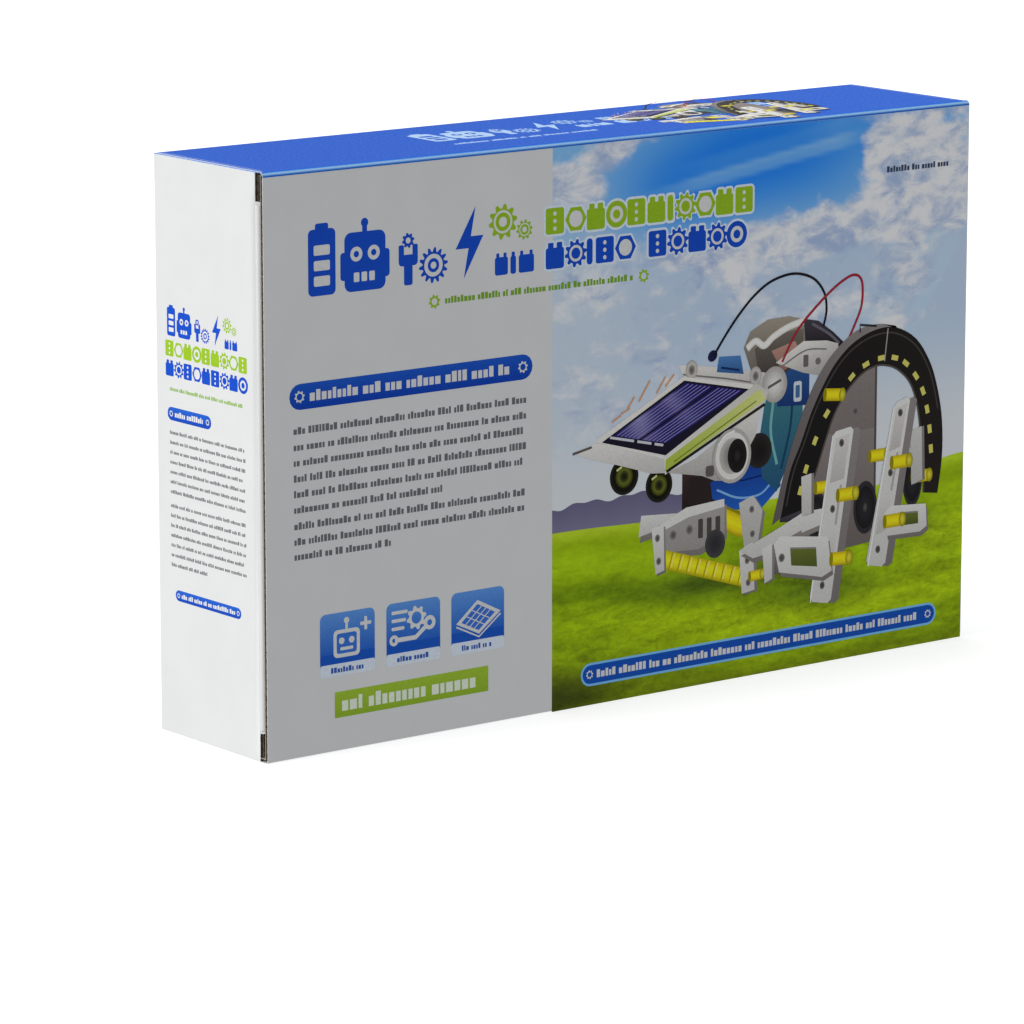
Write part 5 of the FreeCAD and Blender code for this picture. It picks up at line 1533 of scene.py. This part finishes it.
def creases(side, sign):
    """Outer liner round the tuck and dust flap creases, and inner liner over the end hinge."""
    tuck_low, tuck_high = (np.array(corner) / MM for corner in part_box(f"{side}_tuck_flap"))
    outside = HALF_LENGTH
    # seen from above, from the end panel round to the tuck flap
    centre = (outside - BOARD, tuck_low[1] + BOARD)
    path = quarter(centre, BOARD + 0.02, 0.0, -math.pi / 2)
    crease_strip(
        f"{side}_tuck_crease",
        path,
        tuck_low[2] + 0.5,
        tuck_high[2] - 0.5,
        upright(sign),
    )
    # the inner liner turns about the hinge, from the back panel to the end panel
    inside, back = outside - BOARD, HALF_DEPTH - BOARD
    path = np.concatenate(
        [
            np.stack([np.linspace(inside - 0.9, inside, 7), np.full(7, back)], -1),
            np.stack([np.full(7, inside), np.linspace(back, back - 0.9, 8)[1:]], -1),
        ]
    )
    crease_strip(
        f"{side}_hinge_crease",
        path,
        BOARD + 0.5,
        HEIGHT - BOARD - 0.5,
        upright(sign),
        grey_board,
    )
    for level in ("top", "bottom"):
        low, high = (np.array(corner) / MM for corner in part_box(f"{side}_{level}_dust_flap"))
        up = 1 if level == "top" else -1
        face, fold_z = (HEIGHT, high[2]) if up > 0 else (0.0, low[2])
        out = max(abs(low[0]), abs(high[0]))
        centre = (out - abs(face - fold_z), fold_z)
        path = quarter(centre, abs(face - fold_z) + 0.02, math.pi / 2, 0.0)
        path = np.stack([path[:, 0], centre[1] + up * (path[:, 1] - centre[1])], -1)
        crease_strip(
            f"{side}_{level}_dust_crease",
            path if up > 0 else path[::-1],
            low[1] + 0.5,
            high[1] - 0.5,
            lambda flat, fold: np.stack([sign * flat[..., 0], fold, flat[..., 1]], -1),
        )


# ------------------------------------------------------------------ contents


def plastic(name, colour, roughness=0.4, mottle=0.06, bump=0.08, **more):
    """Moulded plastic: slight flow mottle in its colour, a fine spark texture, and a little dust in the
    gloss.
    """
    nodes = Nodes(name, Roughness=roughness, **more)
    place = nodes.place()
    dark = tuple((1 - mottle) * channel for channel in colour)
    flow = nodes.ramp(nodes.noise(nodes.place((1, 1, 2.2)), 70, 4, 0.5, 1.2), 0.3, 0.7)
    nodes.colour(nodes.mix(flow, dark, colour))
    nodes.roughness(nodes.ramp(nodes.noise(place, 260, 4), 0.3, 0.7, roughness - 0.07, roughness + 0.09))
    nodes.bump(nodes.noise(place, 3200, 2), bump, 0.0001)
    return nodes.material


def metal(name, colour, roughness, scratches=0.1):
    """Metal with fine scratches along one direction and a cloud of handling marks."""
    nodes = Nodes(name, Metallic=1.0, Roughness=roughness)
    fine = nodes.noise(nodes.place((1, 1, 14)), 900, 3, 0.6)
    dark = tuple(0.82 * channel for channel in colour)
    nodes.colour(nodes.mix(nodes.ramp(nodes.noise(nodes.place(), 160, 4), 0.35, 0.65), dark, colour))
    nodes.roughness(nodes.ramp(fine, 0.3, 0.7, roughness - 0.08, roughness + 0.14))
    nodes.bump(fine, scratches, 0.00005)
    return nodes.material


def paper(name, colour, lines, scale):
    """Printed paper: soft fibres, and rows of short grey dashes as small print."""
    nodes = Nodes(name, Roughness=0.6)
    place = nodes.place()
    split = nodes.add("ShaderNodeSeparateXYZ", {"Vector": place})
    x, z = split.outputs["X"], split.outputs["Z"]
    row = nodes.math("FRACT", nodes.math("MULTIPLY", z, scale), 0.0)
    word = nodes.noise(nodes.place((1, 0, 1)), 420, 1)
    mark = nodes.math("MULTIPLY", nodes.math("LESS_THAN", row, 0.36), nodes.math("GREATER_THAN", word, 0.47))
    margin = nodes.math("LESS_THAN", nodes.math("ABSOLUTE", x, 0.0), lines)
    fibre = nodes.ramp(nodes.noise(place, 700, 5), 0.3, 0.7)
    sheet = nodes.mix(fibre, tuple(0.965 * channel for channel in colour), colour)
    nodes.colour(nodes.mix(nodes.math("MULTIPLY", mark, margin), sheet, (0.35, 0.38, 0.45)))
    nodes.bump(nodes.noise(place, 2400, 3), 0.15, 0.0001)
    return nodes.material


def cells():
    """Solar cells: dark violet-blue silicon, fine silver fingers, two wide bus bars and a clear coat."""
    nodes = Nodes("solar_cells", Roughness=0.24, Coat_Weight=0.8, Coat_Roughness=0.06)
    split = nodes.add("ShaderNodeSeparateXYZ", {"Vector": nodes.place()})
    x, z = split.outputs["X"], split.outputs["Z"]
    finger = nodes.math("LESS_THAN", nodes.math("FRACT", nodes.math("MULTIPLY", x, 420), 0.0), 0.13)
    bus = nodes.math("LESS_THAN", nodes.math("FRACT", nodes.math("MULTIPLY", z, 62), 0.0), 0.07)
    crystal = nodes.add("ShaderNodeTexVoronoi", {"Vector": nodes.place((1, 1, 1))}, Scale=260.0)
    silicon = nodes.mix(nodes.ramp(crystal.outputs["Distance"], 0.0, 0.9), (0.13, 0.12, 0.36),
                        (0.22, 0.20, 0.50))
    lines = nodes.math("MAXIMUM", nodes.math("MULTIPLY", finger, 0.55), bus)
    nodes.colour(nodes.mix(lines, silicon, (0.72, 0.73, 0.80)))
    nodes.bump(lines, 0.2, 0.00005)
    return nodes.material


def contents():
    """A finish for every part that stays as it is, by the material slot in its record."""
    clear = dict(Transmission_Weight=0.88, IOR=1.5)
    finishes = {
        "carton_board": board_finish(grey_board),
        "tray_plastic": plastic("tray_plastic", (0.90, 0.92, 0.93), 0.24, 0.03, 0.04, Coat_Weight=0.35,
                                Coat_Roughness=0.1),
        "booklet_paper": paper("booklet_paper", (0.95, 0.95, 0.93), 0.092, 210.0),
        "sticker_paper": paper("sticker_paper", (0.93, 0.90, 0.62), 0.052, 150.0),
        "white_plastic": plastic("white_plastic", (0.94, 0.93, 0.91), 0.36, 0.05),
        "grey_plastic": plastic("grey_plastic", (0.58, 0.57, 0.57), 0.42, 0.08),
        "black_plastic": plastic("black_plastic", (0.075, 0.075, 0.08), 0.44, 0.2, 0.15),
        "yellow_plastic": plastic("yellow_plastic", (0.95, 0.84, 0.10), 0.36, 0.06),
        "lime_plastic": plastic("lime_plastic", (0.74, 0.83, 0.24), 0.38, 0.06),
        "blue_clear_plastic": plastic("blue_clear_plastic", (0.30, 0.55, 0.88), 0.12, 0.03, 0.02, **clear),
        "gear_plastic": plastic("gear_plastic", (0.93, 0.92, 0.86), 0.34, 0.05),
        "screw_steel": metal("screw_steel", (0.62, 0.62, 0.64), 0.34),
        "bright_steel": metal("bright_steel", (0.80, 0.80, 0.82), 0.22),
        "pinion_brass": metal("pinion_brass", (0.86, 0.70, 0.38), 0.26),
        "solar_cells": cells(),
    }
    for part in frame["record"]["subparts"]:
        node = frame["nodes"][part["node"]]
        node.data.materials.clear()
        node.data.materials.append(finishes[part["material_slot"]])


# ------------------------------------------------------------------ stage


def stage():
    """Pale floor, camera, a key light from the upper left, and a soft light from above and behind."""
    kit = settings("kit_stage")
    scene = bpy.context.scene
    scene.view_settings.view_transform = "Standard"

    # a disc that curves up into a wall, turned about the vertical
    bend = np.linspace(0, math.pi / 2, 12)
    reach = np.concatenate([[0.001, 4.0], 9 + 3 * np.sin(bend), [12.0]])[:, None]
    rise = np.concatenate([[0.0, 0.0], 3 - 3 * np.cos(bend), [9.0]])[:, None]
    turn = np.linspace(0, math.tau, 65)[None, :-1]
    grid = np.stack([reach * np.cos(turn), reach * np.sin(turn), rise + 0 * turn], -1)
    index = np.arange(grid[..., 0].size).reshape(grid.shape[:2])
    nxt = np.roll(index, -1, 1)
    faces = np.stack([index[:-1], index[1:], nxt[1:], nxt[:-1]], -1).reshape(-1, 4)
    net = bpy.data.meshes.new("floor")
    net.from_pydata(grid.reshape(-1, 3).tolist(), [], [index[0].tolist(), *faces.tolist()])
    net.shade_smooth()
    floor = bpy.data.objects.new("floor", net)
    scene.collection.objects.link(floor)
    paint = Nodes("studio_floor", Roughness=0.9, Emission_Color=(1, 1, 1, 1), Emission_Strength=0.7)
    grain = paint.ramp(paint.noise(paint.place(), 3, 3), 0.3, 0.7)
    paint.colour(paint.mix(grain, (0.72, 0.72, 0.72), (0.735, 0.735, 0.735)))
    net.materials.append(paint.material)
    floor.visible_diffuse = floor.visible_glossy = floor.visible_shadow = False

    for name, direction, strength, spread, colour in (
        ("key", (-0.86, 0.10, 0.50), kit.sun, 24, (1.0, 0.995, 0.985)),
        ("overhead", (-0.1, 0.42, 0.90), 0.42 * kit.sun, 50, (1.0, 1.0, 1.0)),
    ):
        lamp = bpy.data.lights.new(name, "SUN")
        lamp.energy, lamp.angle, lamp.color = strength, math.radians(spread), colour
        light = bpy.data.objects.new(name, lamp)
        light.rotation_mode = "QUATERNION"
        light.rotation_quaternion = Vector(direction).to_track_quat("Z", "Y")
        scene.collection.objects.link(light)
    world = bpy.data.worlds.new("studio")
    world.use_nodes = True
    world.node_tree.nodes["Background"].inputs["Color"].default_value = (0.96, 0.98, 1.0, 1.0)
    world.node_tree.nodes["Background"].inputs["Strength"].default_value = kit.sky
    scene.world = world

    a, e = kit.azimuth, kit.elevation
    back = Vector((math.sin(a) * math.cos(e), -math.cos(a) * math.cos(e), math.sin(e)))
    right = Vector((math.cos(a), math.sin(a), 0))
    above = back.cross(right)
    camera = bpy.data.objects.new("camera", bpy.data.cameras.new("camera"))
    camera.data.lens, camera.data.sensor_width = kit.lens, 36
    camera.data.clip_start, camera.data.clip_end = 0.05, 60
    camera.rotation_mode = "QUATERNION"
    camera.rotation_quaternion = back.to_track_quat("Z", "Y")
    aim = Vector((0, 0, HEIGHT * MM / 2)) - right * kit.right - above * kit.above
    camera.location = aim + back * kit.distance
    scene.collection.objects.link(camera)
    scene.camera = camera


# ------------------------------------------------------------------ operators


def both_ends(maker):
    """Runs a maker for the left end and then for the right one."""
    for side, sign in (("left", -1), ("right", 1)):
        maker(side, sign)


class KIT_OT_stage(bpy.types.Operator):
    """Floor, lights and camera"""

    bl_idname = "kit.stage"
    bl_label = "Stage"

    def execute(self, context):
        stage()
        return {"FINISHED"}


class KIT_OT_sleeve(bpy.types.Operator):
    """The four panels of the carton's tube"""

    bl_idname = "kit.sleeve"
    bl_label = "Sleeve"

    def execute(self, context):
        carton_sleeve()
        return {"FINISHED"}


class KIT_OT_end_flaps(bpy.types.Operator):
    """The two end panels"""

    bl_idname = "kit.end_flaps"
    bl_label = "End Flaps"

    def execute(self, context):
        both_ends(end_flap)
        return {"FINISHED"}


class KIT_OT_tuck_flaps(bpy.types.Operator):
    """The tongues behind the front panel"""

    bl_idname = "kit.tuck_flaps"
    bl_label = "Tuck Flaps"

    def execute(self, context):
        both_ends(tuck_flap)
        return {"FINISHED"}


class KIT_OT_dust_flaps(bpy.types.Operator):
    """The four short inner flaps"""

    bl_idname = "kit.dust_flaps"
    bl_label = "Dust Flaps"

    def execute(self, context):
        both_ends(dust_flaps)
        return {"FINISHED"}


class KIT_OT_creases(bpy.types.Operator):
    """The liner round the folds of the flaps"""

    bl_idname = "kit.creases"
    bl_label = "Creases"

    def execute(self, context):
        both_ends(creases)
        return {"FINISHED"}


class KIT_OT_front_scenery(bpy.types.Operator):
    """The landscape on the front"""

    bl_idname = "kit.front_scenery"
    bl_label = "Front Scenery"

    def execute(self, context):
        front_scenery()
        return {"FINISHED"}


class KIT_OT_front_notes(bpy.types.Operator):
    """Title, text blocks and tiles on the front"""

    bl_idname = "kit.front_notes"
    bl_label = "Front Notes"

    def execute(self, context):
        front_notes()
        return {"FINISHED"}


class KIT_OT_front_robot(bpy.types.Operator):
    """The robot in the front's picture"""

    bl_idname = "kit.front_robot"
    bl_label = "Front Robot"

    def execute(self, context):
        front_robot()
        return {"FINISHED"}


class KIT_OT_top_print(bpy.types.Operator):
    """The print on the top panel"""

    bl_idname = "kit.top_print"
    bl_label = "Top Print"

    def execute(self, context):
        top_print()
        return {"FINISHED"}


class KIT_OT_end_prints(bpy.types.Operator):
    """The print on both end panels"""

    bl_idname = "kit.end_prints"
    bl_label = "End Prints"

    def execute(self, context):
        both_ends(end_print)
        return {"FINISHED"}


class KIT_OT_back_print(bpy.types.Operator):
    """The print on the back panel"""

    bl_idname = "kit.back_print"
    bl_label = "Back Print"

    def execute(self, context):
        back_print()
        return {"FINISHED"}


class KIT_OT_contents(bpy.types.Operator):
    """Finishes of the parts inside"""

    bl_idname = "kit.contents"
    bl_label = "Contents"

    def execute(self, context):
        contents()
        return {"FINISHED"}


OPERATORS = (
    KIT_OT_stage,
    KIT_OT_sleeve,
    KIT_OT_end_flaps,
    KIT_OT_tuck_flaps,
    KIT_OT_dust_flaps,
    KIT_OT_creases,
    KIT_OT_front_scenery,
    KIT_OT_front_notes,
    KIT_OT_front_robot,
    KIT_OT_top_print,
    KIT_OT_end_prints,
    KIT_OT_back_print,
    KIT_OT_contents,
)


class KIT_PT_panel(bpy.types.Panel):
    bl_label = "Boxed Robot Kit"
    bl_idname = "KIT_PT_panel"
    bl_space_type = "VIEW_3D"
    bl_region_type = "UI"
    bl_category = "Kit"

    def draw(self, context):
        for step in OPERATORS:
            self.layout.operator(step.bl_idname)
        for name, group in GROUPS.items():
            column = self.layout.column()
            for key in group.__annotations__:
                column.prop(getattr(context.scene, name), key)


GROUPS = {"kit_board": KitBoardSettings, "kit_print": KitPrintSettings, "kit_stage": KitStageSettings}
CLASSES = [*GROUPS.values(), *OPERATORS, KIT_PT_panel]


def register():
    for item in CLASSES:
        bpy.utils.register_class(item)
    for name, group in GROUPS.items():
        setattr(bpy.types.Scene, name, PointerProperty(type=group))


def unregister():
    for name in GROUPS:
        delattr(bpy.types.Scene, name)
    for item in reversed(CLASSES):
        bpy.utils.unregister_class(item)


def main():
    """Registers the add-on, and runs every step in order."""
    register()
    bpy.ops.kit.stage()
    bpy.ops.kit.sleeve()
    bpy.ops.kit.end_flaps()
    bpy.ops.kit.tuck_flaps()
    bpy.ops.kit.dust_flaps()
    bpy.ops.kit.creases()
    bpy.ops.kit.front_scenery()
    bpy.ops.kit.front_notes()
    bpy.ops.kit.front_robot()
    bpy.ops.kit.top_print()
    bpy.ops.kit.end_prints()
    bpy.ops.kit.back_print()
    bpy.ops.kit.contents()


if __name__ == "__main__":
    main()
